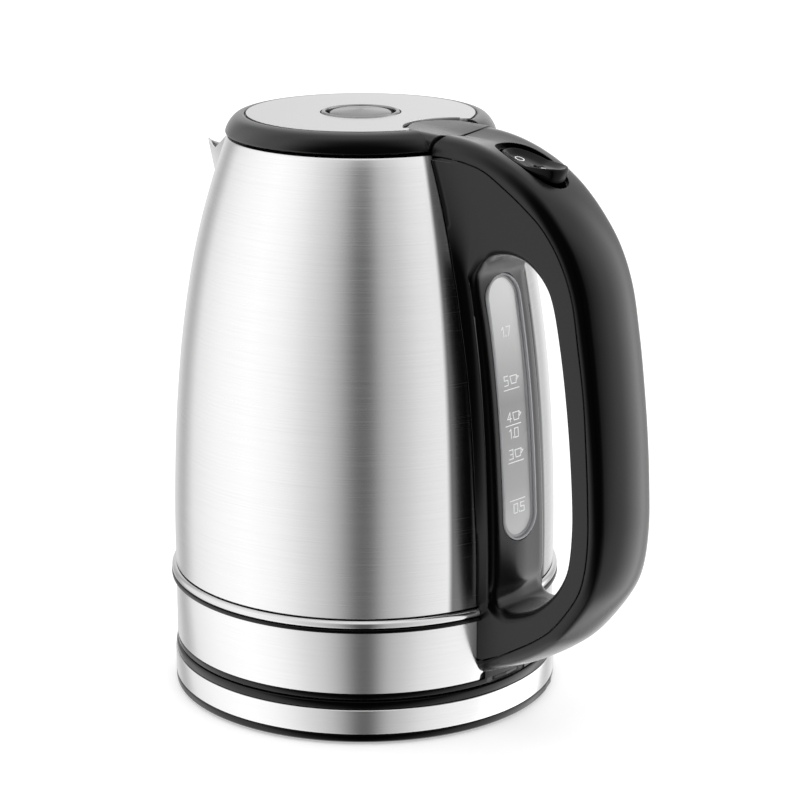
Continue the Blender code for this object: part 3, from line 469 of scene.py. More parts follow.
# Painted shade for the gap in the grip's seam: darker and duller than the grip's own plastic.
PAINTED_SEAM_SHADE = moulded("seam_painted_shade_look", 0.0004, 0.6, 0.4, 1.2)
BASE_BLACK = moulded("base_plastic_look", 0.0008, 0.20, 0.3, 1.42, 0.0004, 0.06)
GLOSS = moulded("gloss_black_look", 0.0004, 0.05, 0.02, 1.24, 0.0003)
# The body steel carries the painted dark band of the handle's reflection near the grip.
STEEL = brushed_steel("body_steel", 0.83, paint_grip_reflection=True)
BAND_STEEL = brushed_steel("band_steel", 0.84, 0.22, 0.8)
BEAD_STEEL = brushed_steel("bead_steel", 0.72, 0.12, 0.3)
SPOUT_STEEL = brushed_steel("spout_steel", 0.83, 0.24, 0.6)
LID_STEEL = lid_steel()
SATIN = brushed_steel("satin_grey_look", 0.30, 0.26, 0.5)
PLATED = simple("plated_look", (0.66, 0.66, 0.67), 0.22, 1.0)
BRASS = simple("brass_look", (0.72, 0.52, 0.24), 0.28, 1.0)
RUBBER = simple("silicone_look", (0.06, 0.06, 0.06), 0.62)
WHITE = simple("white_plastic_look", (0.68, 0.68, 0.64), 0.45)
WINDOW = window_look()
# White print for the marks, with painted light shining from it.
MARK = simple("mark_print_painted_light_look", (0.86, 0.87, 0.88), 0.45, painted_emission=0.28)
RIM = moulded("window_rim_look", 0.42, 0.16, 0.1, 1.49, 0.0004)


# ---- power base ----

def power_base():
    tray = lathe("power_tray", rounded([
        (0.0, 3.0), (76.5, 3.0), (76.5, 4.25), (79.6, 4.25), (80.0, 3.8), (80.0, 1.7),
        (79.1, 0.9), (12.2, 0.9), (11.8, 0.0), (0.0, 0.0)], 0.25, 3))
    turn = Matrix.Rotation(math.radians(35.0), 4, "Z")
    notch = block("notch", (16.0, 30.6, 6.0), None,
                  turn @ Matrix.Translation(Vector((74.6, 0.0, 3.0)) * MM))
    holes = [rod("hole", 6.3, (x, y, 0.5), (x, y, 5.0))
             for x, y in [(62 * math.cos(a), 62 * math.sin(a))
                          for a in np.radians([80, 170, 260, 350])]]
    screws = [rod("hole", 3.2, (x, y, 0.5), (x, y, 5.0))
              for x, y in [(50 * math.cos(a), 50 * math.sin(a))
                           for a in np.radians([125, 215, 305])]]
    change(tray, [notch] + holes + screws)
    piece(tray, "power_base", BASE_BLACK, ["base_tray"])
    band = lathe("power_band", rounded([(79.72, 14.8), (80.0, 14.4), (80.0, 4.9), (79.8, 4.5),
                                        (79.2, 4.5), (78.9, 14.8)], 0.25, 3))
    piece(band, "power_base", BAND_STEEL, ["base_steel_band"])
    cover = lathe("power_cover", rounded([
        (78.7, 18.4), (79.5, 18.0), (79.65, 17.2), (79.65, 15.1), (78.6, 15.1), (78.6, 13.4),
        (22.0, 13.4), (22.0, 6.0), (20.0, 6.0), (20.0, 15.2), (71.0, 15.2), (74.0, 18.4)], 0.3, 3))
    piece(cover, "power_base", BASE_BLACK, ["base_top_cover"])


# ---- lower kettle ----

def stadium(half_width, low, high, points=17):
    """Outline with round ends, of (across, height)."""
    outline = []
    for centre, start in ((high - half_width, 0.0), (low + half_width, 180.0)):
        outline += arc((0.0, centre), half_width, start, start + 180.0, points)
    return outline


def lower_kettle():
    moulding = lathe("foot_moulding", rounded([
        (77.9, 48.6), (77.9, 21.2), (78.9, 21.2), (79.15, 20.8), (79.15, 19.2), (78.7, 18.7),
        (22.6, 18.7), (22.6, 20.7), (75.9, 20.7), (75.9, 48.6)], 0.25, 3))
    pad = lathe("pad", [(79.05, 26.8), (79.05, 20.0), (76.5, 20.0), (76.5, 26.8)])
    change(pad, [block("keep", (20.0, 25.2, 20.0), (79.0, 0.0, 24.0))], "INTERSECT")
    change(moulding, [pad], "UNION")
    slot = [(z, 20.0 + y) for y, z in stadium(1.15, -11.6, 11.6, 9)]
    change(moulding, [plate("slot", slot, 77.9, 90.0, "X")])
    piece(moulding, "kettle", BASE_BLACK, ["base_moulding"])
    band = lathe("foot_band", rounded([(79.1, 47.4), (79.1, 21.4), (78.3, 21.4), (78.3, 47.4)],
                                      0.3, 4))
    gap = [(-13.0, 60.0), (-13.0, 26.5)] + arc((-16.0, 26.5), 3.0, 0.0, -70.0, 7)
    gap += [(-17.6, 15.0), (17.6, 15.0)]
    gap += [(-y, z) for y, z in reversed(arc((-16.0, 26.5), 3.0, 0.0, -70.0, 7))]
    gap += [(13.0, 26.5), (13.0, 60.0)]
    change(band, [plate("gap", gap, 60.0, 100.0, "X")])
    piece(band, "kettle", BAND_STEEL, ["lower_band"])
    section = arc((79.0, 50.5), 1.9, 90.0, -90.0, 15)
    bead = lathe("body_bead", section + [(77.6, 48.9), (77.6, 52.1)])
    change(bead, [block("gap", (30.0, 34.4, 20.0), (79.0, 0.0, 50.0))])
    piece(bead, "kettle", BEAD_STEEL, ["trim_bead"], 60.0)
    # Painted shade and reflection: a black ring just under the steel bead, standing in for the dark
    # line of shade and dark reflection beneath it.
    lip = lathe("bead_shade_ring", rounded([(78.2, 48.8), (81.0, 48.8), (81.0, 47.4), (78.2, 47.4)],
                                    0.4, 4))
    change(lip, [block("gap", (30.0, 34.4, 20.0), (79.0, 0.0, 48.0))])
    piece(lip, "kettle", BASE_BLACK)


# ---- body, spout, mouth ----

def body_profile(offset, low, high, count):
    """(radius, height) down the body's side, moved outward by an offset."""
    return [(body_radius(z) + offset, z) for z in np.linspace(high, low, count)]


def body_solid(offset, top=BODY_TOP):
    """Whole body as one solid, grown by an offset, to cut its neighbours with."""
    profile = [(0.0, top), (body_radius(BODY_TOP) + offset, top)]
    profile += body_profile(offset, BODY_BOTTOM, BODY_TOP - 0.01, 60)
    profile += [(BAND_RADIUS + offset, 10.0), (0.0, 10.0)]
    return lathe("body_solid", profile)


def spout_half_angle(height):
    """Degrees from the ridge to the spout's root; none below the height where it starts."""
    return 23.0 * math.sqrt(max(0.0, (height - SPOUT_LOW) / (BODY_TOP - SPOUT_LOW)))


def spout_root_y(height):
    """Half width of the spout where it meets the body."""
    z = min(height, BODY_TOP)
    return body_radius(z) * math.sin(math.radians(spout_half_angle(z)))


def body():
    profile = [(54.95, 230.9), (54.7, 231.2), (54.3, 231.2)]
    profile += body_profile(-SHEET, BODY_BOTTOM, BODY_TOP - 0.4, 50)
    profile += list(reversed(body_profile(0.0, BODY_BOTTOM, BODY_TOP - 0.7, 60)))
    shell = lathe("steel_body", profile)
    outline = [(-0.72 * spout_root_y(z), z) for z in (165.0, 180.0, 195.0, 210.0, 225.0, 240.0)]
    outline += [(-y, z) for y, z in reversed(outline)]
    change(shell, [
        plate("slot", stadium(8.0, WINDOW_LOW + 5.0, WINDOW_HIGH - 5.0), 60.0, 100.0, "X"),
        block("notch", (20.0, 19.0, 20.0), (57.0, 0.0, 231.0)),
        plate("mouth", outline, -100.0, -30.0, "X")])
    piece(shell, "kettle", STEEL, ["body_shell"])


def spout():
    """Pinched beak whose flanks run on into the body."""
    ridge = smooth_line([(SPOUT_LOW, 76.2), (160.0, 77.6), (180.0, 80.4), (198.0, 84.4),
                         (210.0, 87.8), (SPOUT_TIP, 90.5)], 10)
    lip = smooth_line([(0.0, 218.6), (0.10, 217.6), (0.25, 216.6), (0.45, 217.4), (0.7, 222.4),
                       (1.0, 230.9)], 8)
    up, wide = 40, 61
    rows = []
    for level in np.linspace(0.0, 1.0, up):
        for side in np.linspace(-1.0, 1.0, wide):
            across = abs(side)
            height = 139.5 + (np.interp(across, lip[:, 0], lip[:, 1]) - 139.5) * level
            root = body_radius(min(height, BODY_TOP)) + 0.12
            angle = math.radians(spout_half_angle(height))
            start = np.array([root * math.cos(angle), root * math.sin(angle)])
            reach = np.interp(min(height, SPOUT_TIP), ridge[:, 0], ridge[:, 1])
            tip = np.array([max(reach, root), 0.0])
            blend = across ** 1.25
            point = tip * (1 - blend) + start * blend
            rows.append((-point[0], math.copysign(point[1], side), height))
    faces = []
    for i in range(up - 1):
        for k in range(wide - 1):
            a = i * wide + k
            faces.append((a, a + 1, a + wide + 1, a + wide))
    beak = new_object("pouring_spout", rows, faces)
    thick = beak.modifiers.new("sheet", "SOLIDIFY")
    thick.thickness = 0.9 * MM
    thick.offset = 0.0
    change(beak, [body_solid(0.02, 240.0)])
    piece(beak, "kettle", SPOUT_STEEL, ["spout"], 50.0)


def mouth():
    inner = body_profile(-SHEET - 0.15, 219.0, 230.9, 12)
    collar = lathe("mouth_ring", inner + [(50.2, 219.0), (49.9, 219.4), (49.9, 230.6),
                                          (50.3, 230.9)])
    change(collar, [block("notch", (20.0, 19.0, 20.0), (57.0, 0.0, 230.0)),
                    block("notch", (30.0, 30.0, 14.0), (-55.0, 0.0, 220.5))])
    piece(collar, "kettle", BASE_BLACK, ["mouth_collar"])


# ---- handle ----

def handle_section(station, half_width, edge, inset, below, arc_points=9, crown_points=9):
    """Closed section across the handle: flat sides, rounded edges, crowned or dished top."""
    seam = np.array([station[0], station[1]])
    rise = np.array([station[2], station[3]]) - seam
    crown = station[4]
    depth = float(np.linalg.norm(rise))
    rise = rise / depth
    middle = depth - inset
    power = 2.0 - 0.85 * min(1.0, max(0.0, -crown / 1.8))
    width = half_width - edge
    for _ in range(6):
        slope = math.atan(power * crown / width)
        width = half_width - edge + edge * math.sin(slope)
    centre = middle - crown - edge * math.cos(slope)
    half = [(half_width, below), (half_width, below * 0.5 + centre * 0.5)]
    half += [(half_width - edge + edge * math.sin(a), centre + edge * math.cos(a))
             for a in np.linspace(math.pi / 2, slope, arc_points)]
    for share in np.linspace(1.0, 0.0, crown_points)[1:-1]:
        half.append((width * share, middle - crown * share ** power))
    full = half + [(0.0, middle)] + [(-y, n) for y, n in reversed(half)]
    return [(seam[0] + rise[0] * n, y, seam[1] + rise[1] * n) for y, n in full]


def oval(half_length, half_width, power, points=96):
    """Outline between an ellipse and a rectangle: the higher the power, the squarer."""
    outline = []
    for angle in np.linspace(0.0, 2 * math.pi, points, endpoint=False):
        c, s = math.cos(angle), math.sin(angle)
        outline.append((half_length * math.copysign(abs(c) ** (2 / power), c),
                        half_width * math.copysign(abs(s) ** (2 / power), s)))
    return outline


def rocker_point(along_slope, across, up):
    """Place in the object's frame of a point given in the rocker's own tilted frame."""
    x = ROCKER_X + along_slope * math.cos(ROCKER_TILT) + up * math.sin(ROCKER_TILT)
    z = ROCKER_Z - along_slope * math.sin(ROCKER_TILT) + up * math.cos(ROCKER_TILT)
    return (x, across, z)


def hinge_room():
    """Space in the handle's front end that the lid's arm swings through."""
    wedge = arc(HINGE, 16.0, 142.5, 242.0, 13) + arc(HINGE, 4.4, 242.0, 502.5, 25)
    return plate("room", wedge, -SLOT_HALF_WIDTH, SLOT_HALF_WIDTH, "Y")


def pin_room():
    """Bores for the hinge's pin and spring."""
    bore = rod("pin", 1.8, (HINGE[0], -15.0, HINGE[1]), (HINGE[0], 15.0, HINGE[1]))
    coil = rod("coil", 4.0, (HINGE[0], 8.0, HINGE[1]), (HINGE[0], 14.2, HINGE[1]))
    return [bore, coil]


def slimmed(station):
    """Station with its top lowered where the grip's back runs a little inside its bulk."""
    x, z, top_x, top_z, crown = station
    share = min(1.0, max(0.0, (x - 86.0) / 22.0)) if z > 100.0 else 1.0
    less = share * share * (3 - 2 * share) * float(np.interp(
        z, [20.0, 45.0, 70.0, 100.0, 130.0, 170.0, 200.0, 230.0],
        [0.9, 0.6, 0.6, 0.8, 1.1, 1.15, 0.8, 0.6]))
    depth = math.hypot(top_x - x, top_z - z)
    keep = (depth - less) / depth
    return (x, z, x + (top_x - x) * keep, z + (top_z - z) * keep, crown + 0.5 * share)


def handle_outer():
    """Back half of the grip, from the hinge down to the foot."""
    stations = [slimmed(s) for s in smooth_line(HANDLE_STATIONS, 8)]
    shell = loft("handle_back", [handle_section(s, HALF_WIDTH, 5.6, 0.0, 0.6) for s in stations])
    inner = [np.array(s) + 0.001 for s in stations[21:-6:3]]
    hollow = loft("hollow", [handle_section(s, HALF_WIDTH - WALL, 2.8, WALL, -2.0, 4, 4)
                             for s in inner])
    nose = [(40.0, 224.0), (40.0, 250.0), (58.3, 250.0)] + arc(HINGE, NOSE_RADIUS, 112.0, 195.0, 30)
    nose += [(52.3, 224.0)]
    recess = loft("recess", [[rocker_point(a + 0.2, b, up) for a, b in oval(17.6, 9.4, 2.2)]
                             for up in (-13.0, 14.0)])
    change(shell, [body_solid(HANDLE_GAP, 231.4)])
    change(shell, [plate("nose", nose, -40.0, 40.0, "Y")])
    change(shell, [hollow])
    change(shell, [recess])
    change(shell, [hinge_room()] + pin_room())
    piece(shell, "kettle", BLACK, ["handle_outer_shell"], 38.0)


def seam_shade_sheet():
    """Very dark, dull sheet inside the joint between the two halves of the grip: painted shade that
    makes the gap read black.
    """
    line = np.array([s[:2] for s in smooth_line([s[:2] for s in HANDLE_STATIONS[4:]], 4)][:-3])
    ahead = np.gradient(line, axis=0)
    normal = np.column_stack([-ahead[:, 1], ahead[:, 0]])
    normal /= np.linalg.norm(normal, axis=1)[:, None]
    outline = [tuple(p) for p in np.vstack([line + 1.3 * normal, (line - 1.3 * normal)[::-1]])]
    lip = plate("handle_seam_shade_sheet", outline, 0.9 - HALF_WIDTH, HALF_WIDTH - 0.9, "Y")
    change(lip, [body_solid(0.6, 229.0)])
    piece(lip, "kettle", PAINTED_SEAM_SHADE)


def opening_loop():
    """Closed line round the finger opening at mid width, evenly spaced, from its strip side."""
    strip = [(strip_front(z), z) for z in np.linspace(64.0, 182.0, 8)]
    ring = OPENING_OUTER + strip
    closed = ring[-2:] + ring + ring[:3]
    dense = smooth_line(closed, 16)[32:-32]
    steps = np.linalg.norm(np.diff(dense, axis=0), axis=1)
    travel = np.concatenate([[0.0], np.cumsum(steps)])
    places = np.linspace(0.0, travel[-1], 241)[:-1]
    return np.column_stack([np.interp(places, travel, dense[:, 0]),
                            np.interp(places, travel, dense[:, 1])])


def flare(side):
    """Fin that widens one side (-1 or 1) of the grip where it meets the body."""
    rings = []
    for z in np.linspace(53.5, 229.6, 74):
        spread = float(np.interp(z, [54, 77, 101, 126, 150, 167, 188, 211, 220, 229.6],
                                 [0.3, 0.6, 1.3, 1.6, 1.9, 2.3, 2.2, 1.4, 1.2, 1.0]))
        length = float(np.interp(z, [66, 186, 200, 212, 229.6], [5.2, 5.2, 10.0, 14.0, 14.0]))
        radius = body_radius(z) + HANDLE_GAP

        def wall(y):
            return math.sqrt(radius ** 2 - y ** 2)

        top = HALF_WIDTH + spread
        lip = min(0.6, 0.4 * spread)
        ring = [(wall(15.0) + 0.8, 15.0), (wall(16.9) + 0.7, 16.9),
                (wall(HALF_WIDTH + 0.1 * spread), HALF_WIDTH + 0.1 * spread),
                (wall(top - lip), top - lip), (wall(top) + 0.35 * lip, top - 0.3 * lip),
                (wall(top) + lip, top)]
        for share in (0.2, 0.35, 0.5, 0.65, 0.8, 0.92):
            ring.append((wall(top) + lip + (length - lip) * share,
                         HALF_WIDTH + spread * (1 - share) ** 1.6))
        ring += [(wall(top) + length, HALF_WIDTH - 0.05), (wall(top) + length, 15.0)]
        rings.append([(x, side * y, z) for x, y in ring])
    return loft("flare", rings)


def handle_inner():
    """Front half of the grip: a solid between its outer line and the finger opening."""
    seam = [(s[0], s[1]) for s in smooth_line([s[:2] for s in HANDLE_STATIONS[1:]], 8)]
    seam = [p for p in seam if p[0] > 56.0 and not (p[0] < 80.0 and p[1] < 60.0)]
    wall_heights = np.linspace(31.0, 230.0, 60)
    levels = np.linspace(-HALF_WIDTH, HALF_WIDTH, 9)

    def outer_row(y):
        wall = []
        for z in wall_heights:
            radius = (body_radius(z) if z > BODY_BOTTOM else BAND_RADIUS) + HANDLE_GAP
            wall.append((math.sqrt(radius ** 2 - y ** 2), y, z))
        return [(x, y, z) for x, z in seam] + wall

    loop = opening_loop()
    ahead = np.roll(loop, -1, axis=0) - np.roll(loop, 1, axis=0)
    outward = np.column_stack([-ahead[:, 1], ahead[:, 0]])
    outward /= np.linalg.norm(outward, axis=1)[:, None]
    middle = loop.mean(axis=0)
    if ((loop - middle) * outward).sum() < 0:
        outward = -outward
    strip_side = np.clip(-outward[:, 0], 0.0, 1.0)
    outer_side = np.clip(outward[:, 0], 0.0, 1.0)
    wide = 4.6 + 1.1 * strip_side - 2.4 * outer_side
    deep = 4.6 - 1.3 * strip_side - 2.4 * outer_side
    roof = 0.4 + 0.6 * strip_side ** 3
    rows = [outer_row(y) for y in levels]
    tunnel = []
    for side in (-1.0, 1.0):
        for t in np.linspace(math.pi / 2, 0.0, 11):
            y = HALF_WIDTH - wide + wide * math.sin(t)
            away = roof + deep * (1 - math.cos(t))
            tunnel.append((loop + outward * away[:, None], side * y))
        for share in (0.66, 0.33):
            tunnel.append((loop + outward * (roof * share)[:, None],
                           side * (HALF_WIDTH - wide) * share))
        if side < 0:
            tunnel.append((loop, np.zeros(len(loop))))
            near_half = tunnel
            tunnel = []
    tunnel = near_half + list(reversed(tunnel))
    count, size = len(rows[0]), len(loop)
    verts = [point for row in rows for point in row]
    start = len(verts)
    for points, y in tunnel:
        verts += [(p[0], float(v), p[1]) for p, v in zip(points, y)]
    faces = ring_faces(len(rows), count) + ring_faces(len(tunnel), size, start)
    shell = raw_object("handle_front", verts, faces)
    work = bmesh.new()
    work.from_mesh(shell.data)
    work.verts.ensure_lookup_table()
    for near, far in ((0, start), ((len(rows) - 1) * count, start + (len(tunnel) - 1) * size)):
        edges = []
        for first, number in ((near, count), (far, size)):
            for k in range(number):
                pair = (work.verts[first + k], work.verts[first + (k + 1) % number])
                edges.append(work.edges.get(pair) or work.edges.new(pair))
        bmesh.ops.triangle_fill(work, edges=edges, use_beauty=True)
    bmesh.ops.recalc_face_normals(work, faces=work.faces)
    work.to_mesh(shell.data)
    work.free()
    change(shell, [flare(-1.0), flare(1.0)], "UNION")
    hollow = plate("hollow", HOLLOW_LINE + [(100.0, 5.0), (160.0, 20.0), (160.0, 250.0),
                                            (67.0, 250.0)],
                   WALL - HALF_WIDTH, HALF_WIDTH - WALL, "Y")
    window = plate("window", stadium(WINDOW_HALF_WIDTH, WINDOW_LOW, WINDOW_HIGH, 25),
                   60.0, 100.0, "X")
    change(shell, [hollow])
    change(shell, [window])
    change(shell, [hinge_room()] + pin_room())
    piece(shell, "kettle", BLACK, ["handle_inner_shell"], 38.0)


def pane_point(y, z, lift):
    """Place on the pane's face, raised by a lift."""
    return (strip_front(z) - PANE_DEPTH + lift, y, z)


def window():
    """Pale pane with a raised rim, set in the strip."""
    heights = np.linspace(WINDOW_LOW - 2, WINDOW_HIGH + 2, 40)

    def slab(name, near, far, outline):
        face = [(strip_front(z) - near, z) for z in heights]
        back = [(strip_front(z) - far, z) for z in reversed(heights)]
        solid = plate(name, face + back, -20.0, 20.0, "Y")
        return change(solid, [plate("cut", outline, 50.0, 110.0, "X")], "INTERSECT")

    half = WINDOW_HALF_WIDTH - 0.3

    def inset(by, points=25):
        return stadium(half - by, WINDOW_LOW + 0.3 + by, WINDOW_HIGH - 0.3 - by, points)

    pane = slab("level_pane", PANE_DEPTH, 3.2, inset(1.3))
    piece(pane, "kettle", WINDOW, ["water_window"])
    for name, near, outside, inside in (("level_rim", 0.3, 0.0, 0.8),
                                        ("level_step", 1.3, 0.9, 1.9)):
        rim = slab(name, near, 3.4, inset(outside))
        change(rim, [plate("hole", inset(inside), 50.0, 110.0, "X")])
        piece(rim, "kettle", RIM)
    gasket = slab("level_gasket", 4.4, 9.0, inset(0.0, 17))
    change(gasket, [plate("hole", stadium(8.0, WINDOW_LOW + 3.2, WINDOW_HIGH - 3.2, 17),
                          50.0, 110.0, "X"), body_solid(0.2)])
    piece(gasket, "kettle", RUBBER, ["window_gasket"])


SIGN_WIDTH = 1.1
SIGN_HEIGHT = 0.92
STROKES = {
    "0": [[(0, 0), (2, 0), (2, 4), (0, 4), (0, 0)]],
    "1": [[(0.3, 3.2), (1.2, 4), (1.2, 0)]],
    "3": [[(0, 4), (2, 4), (2, 0), (0, 0)], [(0.5, 2), (2, 2)]],
    "4": [[(1.5, 0), (1.5, 4), (0, 1.2), (2.2, 1.2)]],
    "5": [[(2, 4), (0, 4), (0, 2.2), (2, 2.2), (2, 0), (0, 0)]],
    "7": [[(0, 4), (2, 4), (0.8, 0)]],
    ".": [[(0.6, 0), (0.6, 0.5)]],
    "cup": [[(0, 3.6), (0.5, 0.3), (3.0, 0.3), (3.5, 3.6), (0, 3.6)],
            [(3.4, 3.0), (4.5, 2.7), (3.2, 1.3)]],
    "line": [[(0, 0), (8.2, 0)]],
}


def strokes(name, lines, width, place):
    """Thin raised strokes along lines of (across, up); place(across, up, lift) sets them."""
    verts, faces = [], []
    for line in lines:
        points = np.array(line, float)
        for start, end in zip(points, points[1:]):
            ahead = (end - start) / np.linalg.norm(end - start)
            side = np.array([-ahead[1], ahead[0]]) * width / 2
            start, end = start - ahead * width / 2, end + ahead * width / 2
            base = len(verts)
            for lift in (-0.15, 0.06):
                verts += [place(*corner, lift) for corner in
                          (start - side, end - side, end + side, start + side)]
            faces += [(base + a, base + b, base + c, base + d) for a, b, c, d in
                      ((3, 2, 1, 0), (4, 5, 6, 7), (0, 1, 5, 4), (1, 2, 6, 5), (2, 3, 7, 6),
                       (3, 0, 4, 7))]
    return raw_object(name, verts, faces)


def marks():
    """Generic level scale on the pane: numbers, cups and lines."""
    rows = [
        (160.4, [("1", -2.8), (".", -0.9), ("7", 0.4)]), (141.4, [("5", -4.0), ("cup", -0.4)]),
        (139.6, [("line", -4.6)]), (126.9, [("4", -3.8), ("cup", -0.4)]), (125.4, [("line", -5.0)]),
        (120.2, [("1", -3.4), (".", -1.4), ("0", 0.0)]), (111.9, [("3", -3.8), ("cup", -0.4)]),
        (110.4, [("line", -4.4)]), (94.9, [("line", -4.4)]),
        (89.6, [("0", -2.2), (".", 0.5), ("5", 1.8)]),
    ]
    lines = []
    for height, signs in rows:
        for sign, across in signs:
            for stroke in STROKES[sign]:
                lines.append([(across + SIGN_WIDTH * a, height + SIGN_HEIGHT * b)
                              for a, b in stroke])
    level_marks = strokes("level_marks", lines, 0.36, pane_point)
    piece(level_marks, "kettle", MARK)


# ---- lid ----

def tongue():
    """Raised part of the lid that runs back to the hinge and dips in the middle."""
    rings = []
    for x in list(np.linspace(31.4, 36.0, 9)) + list(np.linspace(37.5, 60.0, 18)):
        reach = 20.2 ** 2 - max(0.0, 51.0 - x) ** 2
        half = min(HALF_WIDTH, math.sqrt(max(4.0, reach)))
        share = min(1.0, (x - 31.4) / 23.0)
        middle = 239.6 - 2.9 * share
        shoulder = 239.6 - 0.6 * share
        edge = min(3.0, half * 0.4)
        half_ring = [(half, 232.2), (half, shoulder - edge)]
        half_ring += [(half - edge + edge * math.cos(a), shoulder - edge + edge * math.sin(a))
                      for a in np.linspace(0.15, math.pi / 2, 7)]
        for part in (0.8, 0.6, 0.4, 0.2):
            half_ring.append(((half - edge) * part, middle + (shoulder - middle) * part ** 1.2))
        full = half_ring + [(0.0, middle)] + [(-y, z) for y, z in reversed(half_ring)]
        rings.append([(x, y, z) for y, z in full])
    return loft("tongue", rings)


def lid():
    outer = smooth_line([(46.9, 239.75), (48.0, 239.9), (50.2, 239.2), (52.0, 237.7), (53.6, 235.4),
                         (54.4, 233.6), (54.5, 232.7), (54.0, 232.2)], 5)
    ring = lathe("lid_rim", [tuple(p) for p in outer]
                 + [(52.4, 232.2), (47.6, 236.9), (16.4, 236.9), (16.4, 238.4), (46.9, 238.4)])
    change(ring, [block("crest", (30.0, 33.0, 12.0), (48.0, 0.0, 239.0))])
    change(ring, [tongue()], "UNION")
    nose = rod("nose", NOSE_RADIUS + 0.5, (HINGE[0], -17.4, HINGE[1]), (HINGE[0], 17.4, HINGE[1]),
               96)
    change(ring, [nose, block("rear", (20.0, 44.0, 20.0), (68.6, 0.0, 240.0)),
                  block("arm", (16.0, 19.0, 6.0), (50.0, 0.0, 232.6))])
    piece(ring, "lid", BLACK_RING, ["lid_ring"], 34.0)
    outline = arc((0.0, 0.0), 46.1, 27.0, 333.0, 150)
    outline += arc((39.0, -18.4), 3.0, -25.0, 80.0, 9)
    outline += arc((51.0, 0.0), 20.9, 233.0, 127.0, 40)
    outline += arc((39.0, 18.4), 3.0, -80.0, 25.0, 9)
    disc = plate("lid_plate", outline, 238.9, 240.1, "Z")
    change(disc, [rod("hole", 16.4, (0.0, 0.0, 230.0), (0.0, 0.0, 250.0), 96)])
    piece(disc, "lid", LID_STEEL, ["lid_disc"])
    dome = [(0.0, 241.35), (4.0, 241.2), (8.0, 240.95), (10.6, 240.65), (11.8, 240.3),
            (12.4, 239.9), (12.7, 239.2), (12.7, 234.0), (11.4, 234.0), (11.4, 238.2),
            (3.0, 238.2), (3.0, 229.5), (0.0, 229.5)]
    button = lathe("push_button", dome, 96)
    piece(button, "button", SATIN, ["lid_button"])
    bezel = lathe("button_ring", rounded([
        (15.4, 240.6), (15.9, 240.0), (15.9, 235.6), (14.2, 235.6), (14.2, 240.2), (14.4, 240.6),
    ], 0.25, 4), 96)
    piece(bezel, "lid", SATIN, ["button_bezel"])
    for moved in (ring, disc, bezel, button):
        moved.data.transform(Matrix.Translation(Vector((LID_SHIFT, 0.0, 0.0)) * MM))


def press_spring():
    """Coil under the push button, built at one fixed length; the real one shortens as the button
    goes down.
    """
    low, high, radius, wire, turns = 223.55, 237.8, 6.0, 0.45, 3.5
    rings = []
    for turn in np.linspace(0.0, turns, 141):
        angle = 2 * math.pi * turn
        height = low + wire + (high - low - 2 * wire) * turn / turns
        ring = []
        for a in np.linspace(0.0, 2 * math.pi, 13)[:-1]:
            out = radius + wire * math.cos(a)
            ring.append((out * math.cos(angle), out * math.sin(angle),
                         height + wire * math.sin(a)))
        rings.append(ring)
    coil = piece(loft("press_spring", rings), "lid", PLATED, ["button_spring"])
    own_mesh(coil)


# ---- switch ----

def rocker_top(along_slope):
    """Height of the rocker's top in its own frame."""
    return float(np.interp(along_slope, [-15.0, -12.0, 1.6, 13.0, 16.0],
                           [-1.6, -0.6, 0.6, 4.6, 5.0]))


def rocker():
    """Oval glossy rocker: its lid end is pressed in and its lower end stands up."""
    rings = []
    for half_length, half_width, drop in (
            (14.6, 7.9, None), (15.0, 8.2, 2.6), (14.9, 8.2, 1.4), (14.6, 8.0, 0.5),
            (14.2, 7.7, 0.1), (13.7, 7.3, 0.0), (13.1, 6.7, 0.25), (11.4, 4.9, 1.3),
            (8.2, 3.4, ROCKER_DISH), (3.8, 1.5, 1.65)):
        ring = []
        for a, b in oval(half_length, half_width, 2.2, 72):
            along_slope = a + 0.8
            up = ROCKER_FOOT if drop is None else rocker_top(along_slope) - drop
            ring.append(rocker_point(along_slope, b, up))
        rings.append(ring)
    button = loft("rocker_cap", rings)
    pivot = rocker_point(1.5, 0.0, -4.2)
    tilt = Matrix.Translation(Vector(rocker_point(1.5, 0.0, -8.4)) * MM)
    tilt = tilt @ Matrix.Rotation(ROCKER_TILT, 4, "Y")
    change(button, [block("lever", (4.0, 8.0, 8.0), None, tilt)], "UNION")
    change(button, [rod("bore", 1.5, (pivot[0], -12.0, pivot[2]), (pivot[0], 12.0, pivot[2]))])
    piece(button, "rocker", GLOSS, ["rocker_switch"], 30.0)

    def place(across, up, lift):
        return rocker_point(up, across, rocker_top(up) - ROCKER_DISH + lift)

    circle = [(1.5 * math.cos(a), -6.0 + 1.9 * math.sin(a))
              for a in np.linspace(0.0, 2 * math.pi, 17)]
    signs = [circle, [(0.0, 5.0), (0.0, 8.4)]]
    piece(strokes("rocker_signs", signs, 0.4, place), "rocker", MARK)


power_base()
lower_kettle()
body()
spout()
mouth()
handle_outer()
handle_inner()
seam_shade_sheet()
window()
marks()
lid()
press_spring()
rocker()

NODE_LOOKS = {
    "black_plastic": BASE_BLACK, "brushed_steel": STEEL, "plated_metal": PLATED, "brass": BRASS,
    "silicone": RUBBER, "white_plastic": WHITE, "frosted_window": WINDOW,
    "satin_grey_metal": SATIN, "gloss_black_plastic": GLOSS,
}
SLOT_OF = {entry["node"]: entry["material_slot"] for entry in frame["record"]["subparts"]}
for node_name, node in frame["nodes"].items():
    node.data.materials.clear()
    node.data.materials.append(NODE_LOOKS[SLOT_OF[node_name]])


# ---- stage, light, camera ----

